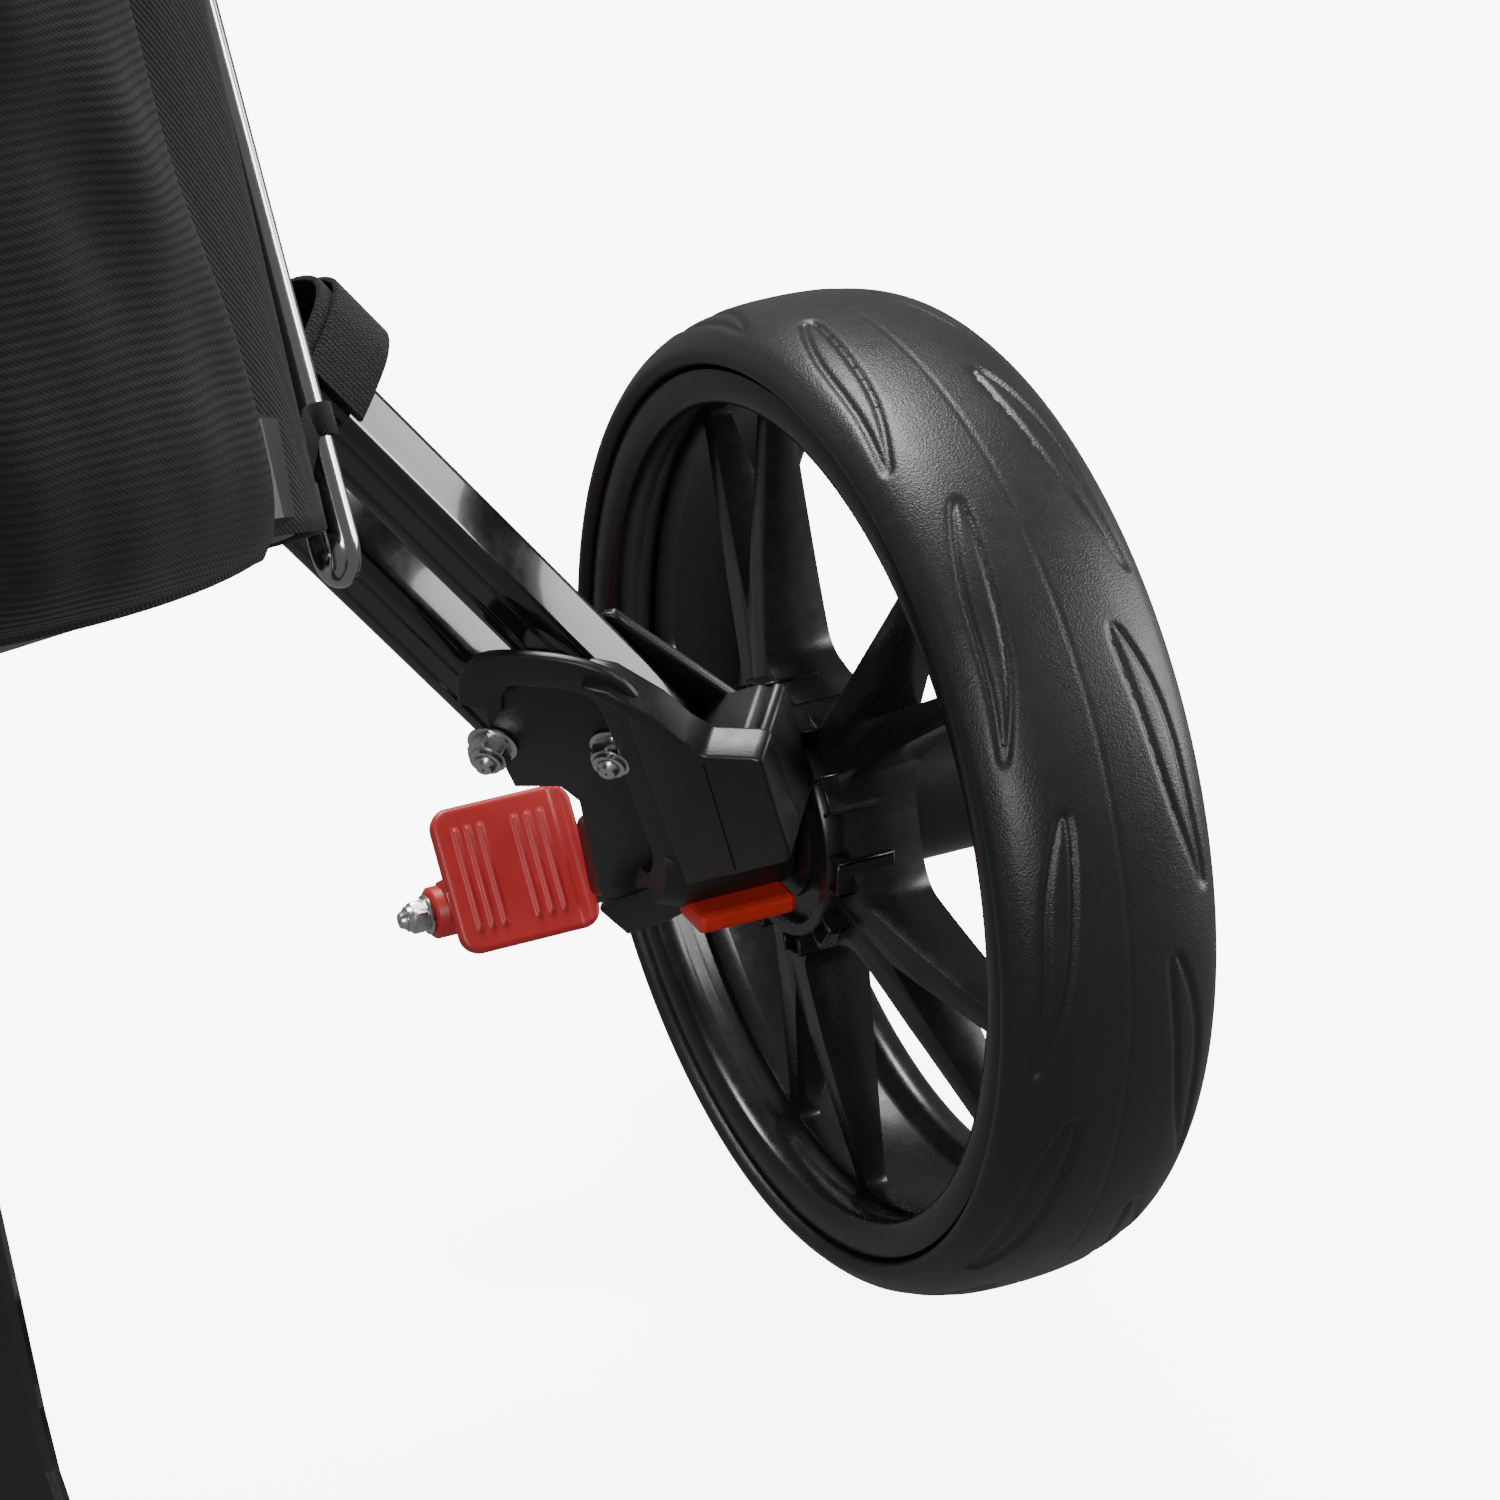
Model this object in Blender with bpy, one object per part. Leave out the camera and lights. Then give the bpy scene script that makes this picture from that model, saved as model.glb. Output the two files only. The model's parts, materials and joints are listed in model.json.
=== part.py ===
"""Golf bag on a three-wheel push cart, metres, +Z up, cart front towards -Y.

The rear axle line lies at y = YA; the bounding box is centred on the origin in
X and Y and stands on z = 0.
"""
import bpy
import bmesh
import numpy as np
from math import pi, sin, cos, radians, sqrt, atan2
from mathutils import Vector, Matrix

# ------------------------------------------------------------ dimensions
GAP = 0.0004          # clearance between touching pieces
YA = 0.01089          # rear axle line in Y
R_REAR = 0.145        # rear tyre radius
X_REAR = 0.33         # rear wheel mid-plane
W_TYRE = 0.0335       # rear tyre half width
R_SEAT = 0.1300       # rim barrel outer radius
R_LIP = 0.1188        # rim lip inner radius
R_BARREL = 0.1225     # rim barrel inner radius
SPOKE_DEG = (56, 128, 200, 272, 344)
R_DRUM = 0.0355       # brake drum radius
R_FRONT = 0.120       # front tyre radius
Y_FRONT = -0.565      # front axle, from the rear axle
LEAN = radians(30)    # bag lean from the vertical
BAG_R = 0.095         # bag shell outer radius
BAG_WALL = 0.004
BAG_LEN = 0.80
BAG_C = (0.0, -0.165, 0.352)   # centre of the bag's bottom
LEG_LEN = 0.292       # leg pivot to pivot
BAR_W = 0.018         # leg tube width along the pivot axis
BAR_H = 0.020         # leg tube depth
FOLD = 35             # leg fold, degrees
PUK = (0.25, -0.0044, 0.1949)  # upper leg pivot at the knuckle

for o in list(bpy.data.objects):
    bpy.data.objects.remove(o, do_unlink=True)
for m in list(bpy.data.meshes):
    bpy.data.meshes.remove(m)
for m in list(bpy.data.materials):
    bpy.data.materials.remove(m)
for c in list(bpy.data.collections):
    bpy.data.collections.remove(c)

COL = bpy.context.scene.collection


def material(name, rgb, rough, metal):
    m = bpy.data.materials.new(name)
    m.use_nodes = True
    b = m.node_tree.nodes["Principled BSDF"]
    b.inputs["Base Color"].default_value = (*rgb, 1)
    b.inputs["Roughness"].default_value = rough
    b.inputs["Metallic"].default_value = metal
    m.diffuse_color = (*rgb, 1)
    return m


M_TYRE = material("tyre_foam", (0.035, 0.035, 0.037), 0.55, 0)
M_RIM = material("rim_plastic", (0.018, 0.018, 0.02), 0.25, 0)
M_BLACK = material("fine_black_plastic", (0.025, 0.025, 0.027), 0.5, 0)
M_TUBE = material("painted_tube", (0.012, 0.012, 0.014), 0.18, 0)
M_STEEL = material("zinc_steel", (0.6, 0.6, 0.6), 0.3, 1)
M_CHROME = material("bright_rod", (0.75, 0.75, 0.77), 0.08, 1)
M_RED = material("red_plastic", (0.60, 0.035, 0.03), 0.4, 0)
M_FABRIC = material("bag_fabric", (0.03, 0.03, 0.033), 0.9, 0)
M_WEB = material("webbing", (0.02, 0.02, 0.022), 0.85, 0)
M_GRIP = material("grip_foam", (0.03, 0.03, 0.03), 0.8, 0)


# ------------------------------------------------------------ mesh helpers
def vec(*p):
    return np.array(p, float)


def unit(v):
    v = np.array(v, float)
    return v / np.linalg.norm(v)


def bm_of(verts, faces):
    b = bmesh.new()
    vs = [b.verts.new(tuple(map(float, v))) for v in verts]
    for f in faces:
        b.faces.new([vs[i] for i in f])
    bmesh.ops.recalc_face_normals(b, faces=b.faces)
    return b


def tmp(b):
    me = bpy.data.meshes.new("t")
    b.to_mesh(me)
    b.free()
    o = bpy.data.objects.new("t", me)
    COL.objects.link(o)
    return o


def boolean(a, others, op):
    for k in others:
        md = a.modifiers.new("b", "BOOLEAN")
        md.operation = op
        md.solver = "EXACT"
        md.object = k
        dg = bpy.context.evaluated_depsgraph_get()
        me = bpy.data.meshes.new_from_object(a.evaluated_get(dg))
        a.modifiers.clear()
        old = a.data
        a.data = me
        bpy.data.meshes.remove(old)
        kd = k.data
        bpy.data.objects.remove(k, do_unlink=True)
        bpy.data.meshes.remove(kd)
    return a


def union(a, *o):
    return boolean(a, o, "UNION")


def cut(a, *o):
    return boolean(a, o, "DIFFERENCE")


def frame_m(o, x, y, z):
    m = np.eye(4)
    m[:3, 0], m[:3, 1], m[:3, 2], m[:3, 3] = x, y, z, o
    return m


def place(b, m):
    bmesh.ops.transform(b, matrix=Matrix(m.tolist()), verts=b.verts)
    bmesh.ops.recalc_face_normals(b, faces=b.faces)
    return b


def revolve(prof, o, axis, ref, n):
    """Ring solid from a closed (radius, offset) loop, every radius > 0."""
    axis = unit(axis)
    ref = unit(ref)
    third = np.cross(axis, ref)
    vs, fs, k = [], [], len(prof)
    for i in range(n):
        a = 2 * pi * i / n
        for r, h in prof:
            vs.append(np.array(o) + axis * h + (ref * cos(a) + third * sin(a)) * r)
    for i in range(n):
        j = (i + 1) % n
        for p in range(k):
            q = (p + 1) % k
            fs.append((i * k + p, i * k + q, j * k + q, j * k + p))
    return bm_of(vs, fs)


def turned(prof, o, axis, ref, n):
    """Solid of revolution from an open (radius, offset) line, capped flat."""
    axis = unit(axis)
    ref = unit(ref)
    third = np.cross(axis, ref)
    vs, fs, k = [], [], len(prof)
    for i in range(n):
        a = 2 * pi * i / n
        for r, h in prof:
            vs.append(np.array(o) + axis * h + (ref * cos(a) + third * sin(a)) * r)
    for i in range(n):
        j = (i + 1) % n
        for p in range(k - 1):
            fs.append((i * k + p, i * k + p + 1, j * k + p + 1, j * k + p))
    fs.append([i * k for i in range(n)])
    fs.append([i * k + k - 1 for i in range(n)])
    return bm_of(vs, fs)


def rod(p0, p1, r, n=16, ref=None):
    p0, p1 = np.array(p0, float), np.array(p1, float)
    ax = unit(p1 - p0)
    if ref is None:
        ref = np.cross(ax, vec(0, 0, 1) if abs(ax[2]) < .9 else vec(0, 1, 0))
    ref = unit(np.array(ref) - ax * np.dot(ax, ref))
    return turned([(r, 0), (r, np.linalg.norm(p1 - p0))], p0, ax, ref, n)


def prism(poly, h0, h1, m=None):
    k = len(poly)
    vs = [(x, y, h0) for x, y in poly] + [(x, y, h1) for x, y in poly]
    fs = [list(range(k))[::-1], [i + k for i in range(k)]]
    fs += [(i, (i + 1) % k, (i + 1) % k + k, i + k) for i in range(k)]
    b = bm_of(vs, fs)
    return place(b, m) if m is not None else b


def sloped(poly, rot, h_lo, h_at, m, sx):
    """Prism whose upper face slopes along the polygon's own x, turned by rot in its plane."""
    k = len(poly)
    c, s = cos(rot), sin(rot)
    flat = [(x * c - y * s, x * s + y * c) for x, y in poly]
    vs = [(x, y, sx * h_lo) for x, y in flat] + [(x, y, sx * h_at(p[0])) for (x, y), p in zip(flat, poly)]
    fs = [list(range(k))[::-1], [i + k for i in range(k)]]
    fs += [(i, (i + 1) % k, (i + 1) % k + k, i + k) for i in range(k)]
    return place(bm_of(vs, fs), m)


def rrect(w, h, r, n=3):
    pts = []
    for cx, cy, a0 in ((w - r, h - r, 0), (-w + r, h - r, 90), (-w + r, -h + r, 180), (w - r, -h + r, 270)):
        for i in range(n + 1):
            a = radians(a0 + 90 * i / n)
            pts.append((cx + r * cos(a), cy + r * sin(a)))
    return pts


def box(lo, hi, m=None, bev=0, seg=2):
    b = bmesh.new()
    bmesh.ops.create_cube(b, size=1)
    for v in b.verts:
        v.co = Vector([lo[i] + (v.co[i] + .5) * (hi[i] - lo[i]) for i in range(3)])
    if bev:
        bmesh.ops.bevel(b, geom=list(b.edges), offset=bev, segments=seg, profile=0.5, affect="EDGES", clamp_overlap=True)
    bmesh.ops.recalc_face_normals(b, faces=b.faces)
    return place(b, m) if m is not None else b


def sweep(path, section, up, closed=False):
    """Sweep a 2-D section along a path; section x runs along the side direction."""
    path = [np.array(p, float) for p in path]
    n, k = len(path), len(section)
    vs, fs = [], []
    side = None
    for i, p in enumerate(path):
        if closed:
            t = unit(path[(i + 1) % n] - path[i - 1])
            t0, t1 = unit(p - path[i - 1]), unit(path[(i + 1) % n] - p)
        else:
            t0 = unit(p - path[max(i - 1, 0)]) if i else unit(path[1] - p)
            t1 = unit(path[min(i + 1, n - 1)] - p) if i < n - 1 else t0
            t = unit(t0 + t1)
        s = np.cross(t, up)
        s = unit(s)
        w = np.cross(s, t)
        for x, y in section:
            vs.append(p + s * x + w * y)
    for i in range(n if closed else n - 1):
        j = (i + 1) % n
        for q in range(k):
            r = (q + 1) % k
            fs.append((i * k + q, i * k + r, j * k + r, j * k + q))
    if not closed:
        fs.append(list(range(k)))
        fs.append([(n - 1) * k + q for q in range(k)])
    return bm_of(vs, fs)


def circle(r, n=12):
    return [(r * cos(2 * pi * i / n), r * sin(2 * pi * i / n)) for i in range(n)]


def hull(pts):
    b = bmesh.new()
    for p in pts:
        b.verts.new(tuple(map(float, p)))
    g = bmesh.ops.convex_hull(b, input=b.verts)
    dead = [x for x in g["geom_interior"] if isinstance(x, bmesh.types.BMVert)]
    bmesh.ops.delete(b, geom=dead, context="VERTS")
    loose = [v for v in b.verts if not v.link_faces]
    bmesh.ops.delete(b, geom=loose, context="VERTS")
    bmesh.ops.dissolve_limit(b, angle_limit=radians(0.5), verts=b.verts, edges=b.edges)
    bmesh.ops.recalc_face_normals(b, faces=b.faces)
    return b


def fillet(pts, r, n=6):
    """Round the corners of an open polyline."""
    pts = [np.array(p, float) for p in pts]
    out = [pts[0]]
    for i in range(1, len(pts) - 1):
        a, b, c = pts[i - 1], pts[i], pts[i + 1]
        u, v = unit(a - b), unit(c - b)
        d = min(r, .45 * np.linalg.norm(a - b), .45 * np.linalg.norm(c - b))
        p0, p1 = b + u * d, b + v * d
        for j in range(n + 1):
            t = j / n
            out.append((1 - t) ** 2 * p0 + 2 * t * (1 - t) * b + t * t * p1)
    out.append(pts[-1])
    return out


NODES = []


def node(name, obj, mat, origin=(0, 0, 0), angle=32):
    """Finish a temporary object as a named node; origin relative to the axle line."""
    b = bmesh.new()
    b.from_mesh(obj.data)
    bmesh.ops.transform(b, matrix=obj.matrix_world, verts=b.verts)
    bmesh.ops.remove_doubles(b, verts=b.verts, dist=1e-6)
    bmesh.ops.dissolve_degenerate(b, dist=1e-6, edges=b.edges)
    og = Vector((origin[0], origin[1] + YA, origin[2]))
    for v in b.verts:
        v.co.y += YA
        v.co -= og
    bmesh.ops.triangulate(b, faces=b.faces, quad_method="BEAUTY", ngon_method="EAR_CLIP")
    bmesh.ops.recalc_face_normals(b, faces=b.faces)
    me = bpy.data.meshes.new(name)
    b.to_mesh(me)
    b.free()
    me.materials.append(mat)
    me.shade_smooth()
    me.set_sharp_from_angle(angle=radians(angle))
    old = obj.data
    bpy.data.objects.remove(obj, do_unlink=True)
    bpy.data.meshes.remove(old)
    o = bpy.data.objects.new(name, me)
    o.location = og
    COL.objects.link(o)
    NODES.append(o)
    return o


def mirrored(o):
    """Copy of a temporary object mirrored in X."""
    b = bmesh.new()
    b.from_mesh(o.data)
    for v in b.verts:
        v.co.x = -v.co.x
    bmesh.ops.recalc_face_normals(b, faces=b.faces)
    return tmp(b)


def pair(base, obj, mat, origin=(0, 0, 0)):
    m = mirrored(obj)
    node(base + "_l", obj, mat, origin)
    node(base + "_r", m, mat, (-origin[0], origin[1], origin[2]))


# ------------------------------------------------------------ rear wheels
WC = vec(X_REAR, 0, R_REAR)
IN = vec(-1, 0, 0)            # axial offset, positive towards the cart's middle
TY = W_TYRE
tyre = [(.1450, 0), (.1447, .010), (.1437, .018), (.1417, .0245), (.1383, .0298), (.1345, TY - .0005), (.1322, TY - .0008),
        (.1306, TY - .0022), (R_SEAT + GAP, .0300)]
tyre = tyre + [(r, -h) for r, h in tyre[::-1] if h > 0]
pair("rear_tyre", tmp(revolve(tyre, WC, IN, (0, 0, 1), 52)), M_TYRE, WC)


def rim_solid(wc, inn, r_seat, r_lip, r_bar, hw, spokes, drum, hub_r, hub_in, hub_out, sp_lo, sp_hi, sp_fall, spoke_form, bore, n):
    prof = [(r_seat, -hw), (r_seat, hw), (r_seat - .0025, hw + .0012), (r_lip + .0025, hw + .0012), (r_lip, hw - .001),
            (r_lip, hw - .008), (r_bar, hw - .012), (r_bar, -hw + .012), (r_lip, -hw + .008), (r_lip, -hw + .001),
            (r_lip + .0025, -hw - .0012), (r_seat - .0025, -hw - .0012)]
    o = tmp(revolve(prof, wc, inn, (0, 0, 1), n))
    fm = frame_m(wc, (0, 1, 0), (0, 0, 1), np.cross((0, 1, 0), (0, 0, 1)) * (1 if inn[0] > 0 else 1))
    # prism heights run along +X; inward offset a means x = -a for the wheel at +X
    sx = inn[0]
    hub = tmp(turned([(hub_r, hub_out), (hub_r, hub_in)], wc, inn, (0, 0, 1), 24))
    parts = []
    rb = r_bar + .0012
    for deg in spokes:
        a = radians(deg)
        x0, x1, x2, wt, spread, bw = spoke_form
        sp = radians(spread)
        q1, q0 = sp + bw / 2 / rb, sp - bw / 2 / rb
        poly = [(x0, -wt * 1.05), (x1 * .96, -wt), (rb * .985 * cos(q1), -rb * .985 * sin(q1)), (rb * cos(sp), -rb * sin(sp)),
                (rb * .985 * cos(q0), -rb * .985 * sin(q0)), (x2 * 1.1, -.0042), (x2, 0)]
        poly += [(x, -y) for x, y in poly[::-1][1:]]
        parts.append(tmp(sloped(poly, a, sp_lo, lambda x: sp_hi - sp_fall * (x - x0), fm, sx)))
    if drum:
        rd, d0, d1, lugs = drum
        dr = turned([(rd - .001, d0), (rd, d0 + .001), (rd, d1 - .001), (rd - .001, d1)], wc, inn, (0, 0, 1), 30)
        parts.append(tmp(dr))
        for i in range(lugs):
            a = radians(360 / lugs * i)
            w = .0052
            pl = [(rd - .002, -w), (rd + .0045, -w * .8), (rd + .0045, w * .8), (rd - .002, w)]
            rot = [(x * cos(a) - y * sin(a), x * sin(a) + y * cos(a)) for x, y in pl]
            h = sorted((sx * d0, sx * d1))
            parts.append(tmp(prism(rot, h[0], h[1], fm)))
    o = union(hub, *parts, o)
    if drum:
        rd, d0, d1, lugs = drum
        pocket = tmp(revolve([(hub_r + .001, d1 - .008), (rd - .006, d1 - .008), (rd - .0045, d1 + .01), (hub_r + .001, d1 + .01)], wc, inn, (0, 0, 1), 30))
        o = cut(o, pocket)
    b = tmp(turned([(bore, hub_out - .01), (bore, max(hub_in, drum[2] if drum else 0) + .01)], wc, inn, (0, 0, 1), 20))
    return cut(o, b)


rim = rim_solid(WC, IN, R_SEAT, R_LIP, R_BARREL, .0296, SPOKE_DEG, (R_DRUM, .0055, .0338, 10), .0215, .0338, -.029,
                .0065, .0325, .205, (.0260, .0520, .0580, .0085, 10.5, .0055), .0063, 48)
pair("rear_rim", rim, M_RIM, WC)
# stub axle: from the knuckle boss to the outer cap
pair("rear_axle", tmp(turned([(.0052, .0685), (.006, .0677), (.006, -.0300), (.0052, -.0308)], WC, IN, (0, 0, 1), 20)), M_STEEL, WC)
pair("rear_cap", tmp(turned([(.0185, -.0313), (.0200, -.0325), (.0200, -.0345), (.0165, -.0375), (.009, -.0385)], WC, IN, (0, 0, 1), 24)), M_BLACK, WC)

# ------------------------------------------------------------ leg frame
L = unit((-0.616, 0.103, 0.781))
t0 = vec(-0.667, -0.667, -0.33)
T = unit(t0 - L * np.dot(t0, L))
Mv = np.cross(T, L)
PUK = np.array(PUK)
OFF_A, OFF_B = .014, .034
PLK = PUK + L * OFF_A + Mv * OFF_B
PUH = PUK + L * LEG_LEN
PLH = PLK + L * LEG_LEN
FK = frame_m(PUK, L, Mv, T)      # local x along the leg, y across the pair, z along the pivots
FH = frame_m(PUH, L, Mv, T)


def bar(p, m_off):
    sec = rrect(BAR_H / 2, BAR_W / 2, .0035, 3)      # x = across (M), y = pivot axis (T)
    m = frame_m(p, Mv, T, L)
    o = tmp(prism(sec, -.014, LEG_LEN + .012, m))
    for q in (p, p + L * LEG_LEN):
        o = cut(o, tmp(rod(q - T * .02, q + T * .02, .0033, 16)))
    return o


pair("upper_leg", bar(PUK, 0), M_TUBE, PUH)
pair("lower_leg", bar(PLK, 1), M_TUBE, PLH)

# ------------------------------------------------------------ knuckle
BRX, BRY, BRZ = .2690, .0766, .0930      # brake pivot on the knuckle arm
blk = [(-.028, -.016), (.022, -.016), (.029, -.008), (.029, .050), (.022, .0570), (-.010, .0570), (-.021, .042), (-.026, .012)]
k1 = tmp(prism(blk, -.0150, .0240, FK))
base_pts = []
for x, y in ((-.026, -.010), (-.0185, .036), (-.012, -.014), (-.006, .044)):
    for z in (-.013, .018):
        base_pts.append(PUK + L * x + Mv * y + T * z)
for x in (.252, .2955):
    for i in range(12):
        a = 2 * pi * i / 12
        base_pts.append((x, .0125 * cos(a), R_REAR + .0125 * sin(a)))
k2 = tmp(hull(base_pts))
lug = []
for x in (BRX, BRX + .0100):
    for i in range(12):
        a = 2 * pi * i / 12
        lug.append((x, BRY + .0095 * cos(a), BRZ + .0095 * sin(a)))
        lug.append((x, .0120 * cos(a), R_REAR + .0120 * sin(a)))
k3 = tmp(hull(lug))
cheek = [(.0240, -.0160), (.0040, -.0275), (-.0100, -.0420), (-.0470, -.0320), (-.0505, .0060), (-.0270, .0150), (-.0100, .0100)]
k4 = tmp(prism(cheek, .0104, .0232, FK))
low = [(-.0192, -.0300), (-.0455, -.0305), (-.0490, .0050), (-.0250, .0145), (-.0192, .0100)]
k5 = tmp(prism(low, -.0080, .0120, FK))
k45 = cut(union(k4, k5), tmp(box((.2943, -.3, 0), (.40, .3, .5))))
knk = union(k1, k2, k3, k45)
# slot for the two leg tubes, open towards the leg and towards the folding side
slot = [(-.0185, -.060), (.06, -.060), (.06, .0530), (-.004, .0530), (-.0185, .034)]
knk = cut(knk, tmp(prism(slot, -.0098, .0098, FK)))
# recess with the two nuts
rec = rrect(.0265, .0290, .006, 3)
rec = [(x - .0010, y + .0200) for x, y in rec]
knk = cut(knk, tmp(prism(rec, .0150, .03, FK)))
for q in (PUK, PLK):
    knk = cut(knk, tmp(rod(q - T * .03, q + T * .03, .0033, 16)))
knk = cut(knk, tmp(rod((.22, 0, R_REAR), (.31, 0, R_REAR), .0063, 20)))
# the brake pivot hole
knk = cut(knk, tmp(rod((.19, BRY, BRZ), (.30, BRY, BRZ), .0033, 16)))
LAT = ((.263, -.0215, .1262), (.2935, -.0065, .1322))
knk = cut(knk, tmp(box((LAT[0][0] - .012, LAT[0][1] - GAP, LAT[0][2] - .02), (LAT[1][0] + .012, LAT[1][1] + GAP, LAT[1][2] + GAP))))
pair("knuckle", knk, M_BLACK, PUK)

latch = tmp(box(LAT[0], LAT[1], None, .0018, 2))
pair("release_latch", latch, M_RED, (.278, -.014, .129))


def bolt(p, ax, h0, h1, r=.0030, hexr=.0058, hh=.0042):
    """Shank with a domed head at the low end and a lock nut at the high end."""
    ax = unit(ax)
    ref = unit(np.cross(ax, (0, 0, 1)))
    o = tmp(turned([(r, h0 - .0005), (r, h1 + .0062)], p, ax, ref, 10))
    hd = tmp(turned([(.0035, h0 - .0042), (.0056, h0 - .0030), (.0060, h0 - GAP)], p, ax, ref, 10))
    nt = tmp(turned([(hexr, h1 + GAP), (hexr, h1 + hh)], p, ax, ref, 6))
    ny = tmp(turned([(hexr * .80, h1 + hh - .0005), (hexr * .68, h1 + hh + .0016)], p, ax, ref, 8))
    return union(o, hd, nt, ny)


pair("knuckle_bolt_upper", bolt(PUK, T, -.0150, .0150), M_STEEL, PUK)
pair("knuckle_bolt_lower", bolt(PLK, T, -.0150, .0150), M_STEEL, PLK)
pair("hub_bolt_upper", bolt(PUH, T, -.0138, .0138), M_STEEL, PUH)
pair("hub_bolt_lower", bolt(PLH, T, -.0138, .0138), M_STEEL, PLH)

# ------------------------------------------------------------ brake pedal (one side)
PN = unit((0, -.8, .6))
PD = unit((0, -.603, -.798))
PC = vec(.2450, .0644, .1090)
fp = frame_m(PC, (1, 0, 0), -PD, np.cross((1, 0, 0), -PD))
if np.dot(fp[:3, 2], PN) < 0:
    fp = frame_m(PC, (-1, 0, 0), -PD, PN)
sgn = 1 if fp[0, 0] > 0 else -1
ped = tmp(prism(rrect(.0213, .0215, .0065, 4), -.0075, 0, fp))
for x in (-.0150, -.0075, .0055, .0130):
    ped = union(ped, tmp(box((sgn * x - .0014, -.0150, -.002), (sgn * x + .0014, .0150, .0016), fp, .0006, 1)))
ped = union(ped, tmp(box((-.0190, -.0130, -.0210), (.0190, .0010, -.0050), fp, .002, 1)))
bosp = tmp(rod((.2220, BRY, BRZ), (.2662, BRY, BRZ), .0078, 20))
ped = union(ped, bosp)
ped = cut(ped, tmp(rod((.18, BRY, BRZ), (.30, BRY, BRZ), .0033, 16)))
node("brake_pedal", ped, M_RED, (.2450, BRY, BRZ))
node("brake_bolt", bolt((BRX + .0100, BRY, BRZ), (-1, 0, 0), 0, .0575), M_STEEL, (.2450, BRY, BRZ))

# ------------------------------------------------------------ bag frame of reference
A = vec(0, sin(LEAN), cos(LEAN))
E = vec(0, cos(LEAN), -sin(LEAN))     # from the bag towards the main tube
C = np.array(BAG_C)
FB = frame_m(C, (1, 0, 0), -E, A)     # x across, y away from the tube, z up the bag
if np.linalg.det(FB[:3, :3]) < 0:
    FB = frame_m(C, (-1, 0, 0), -E, A)
TUBE_E = BAG_R + .010 + .016


def Q(s, e=TUBE_E, x=0.0):
    return C + vec(x, 0, 0) + E * e + A * s


# ------------------------------------------------------------ main tubes
low_path = [Q(.66), Q(-.150), vec(0, -.165, .1000), vec(0, -.240, .0900), vec(0, -.4150, .0900)]
low_path = fillet(low_path, .06, 3)
lo = tmp(sweep(low_path, rrect(.0180, .0160, .005, 3), (1, 0, 0) if False else vec(0, -.3, 1)))
inner = [low_path[0] + A * .01] + low_path[1:-1] + [low_path[-1] + vec(0, -.01, 0)]
lo = cut(lo, tmp(sweep(inner, rrect(.0160, .0140, .003, 1), vec(0, -.3, 1))))
node("lower_tube", lo, M_TUBE, (0, 0, 0))
up = tmp(sweep([Q(.705), Q(.945)], rrect(.0150, .0130, .004, 3), vec(0, -.3, 1)))
node("upper_tube", up, M_TUBE, tuple(Q(.705)))

# leg hub on the main tube
sH = np.dot(PUH - C, A)
hb = tmp(box((-.0240, -.0200, sH - .045), (.0240, .0225, sH + .022), frame_m(C + E * TUBE_E, (1, 0, 0), E, A) if np.linalg.det(frame_m(C, (1, 0, 0), E, A)[:3, :3]) > 0 else frame_m(C + E * TUBE_E, (-1, 0, 0), E, A), .004, 1))
hm = frame_m(C + E * TUBE_E, (1, 0, 0), E, A)


def hub_side(sg):
    pts = []
    for a in (-.016, .0360):
        for b_ in (-.014, .048):
            for c_ in (.0100, .0138):
                pts.append(PUH + L * a + Mv * b_ + T * c_)
    for e in (-.014, .016):
        for s in (sH - .035, sH + .014):
            pts.append(Q(s, TUBE_E + e, .0200))
    pts = [vec(sg * p[0], p[1], p[2]) for p in pts]
    h = tmp(hull(pts))
    def fl(bm_):
        o = tmp(bm_)
        if sg < 0:
            m = mirrored(o)
            d = o.data
            bpy.data.objects.remove(o, do_unlink=True)
            bpy.data.meshes.remove(d)
            return m
        return o
    outer = fl(box((-.016, -.014, -.0138), (.0360, .048, -.0100), FH))
    bridge = fl(box((.0315, -.014, -.0138), (.0360, .048, .0138), FH))
    return h, outer, bridge


hub = union(hb, *hub_side(1), *hub_side(-1))
hub = cut(hub, tmp(sweep([Q(sH - .2), Q(sH + .2)], rrect(.0180 + GAP, .0160 + GAP, .005, 3), vec(0, -.3, 1))))
for sg in (1, -1):
    for q in (PUH, PLH):
        p = vec(sg * q[0], q[1], q[2])
        tt = vec(sg * T[0], T[1], T[2])
        hub = cut(hub, tmp(rod(p - tt * .025, p + tt * .0150, .0033, 16)))
        hub = cut(hub, tmp(rod(p + tt * .0138, p + tt * .034, .0078, 16)))
node("leg_hub", hub, M_BLACK, tuple(Q(sH)))

# ------------------------------------------------------------ front fork and wheel
FW = vec(0, Y_FRONT, R_FRONT)
fk = tmp(box((-.0240, -.4400, .0700), (.0240, -.3700, .1100), None, .004, 1))
fk = union(fk, tmp(box((-.0460, -.4420, .0760), (.0460, -.4260, .1060), None, .003, 1)))
for sg in (1, -1):
    x0, x1 = sorted((sg * .0390, sg * .0460))
    pl = [(-.4260, .0770), (-.4260, .1050), (-.5600, .1340), (-.5790, .1300), (-.5800, .1120), (-.5650, .1050)]
    arm = prism([(y, z) for y, z in pl], x0, x1, frame_m((0, 0, 0), (0, 1, 0), (0, 0, 1), (1, 0, 0)))
    fk = union(fk, tmp(arm))
fk = cut(fk, tmp(sweep([(0, -.30, .09), (0, -.4156, .09)], rrect(.0180 + GAP, .0160 + GAP, .005, 3), vec(0, -.3, 1))))
fk = cut(fk, tmp(rod((-.06, Y_FRONT, R_FRONT), (.06, Y_FRONT, R_FRONT), .0053, 16)))
node("front_fork", fk, M_BLACK, (0, -.42, .09))
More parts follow.
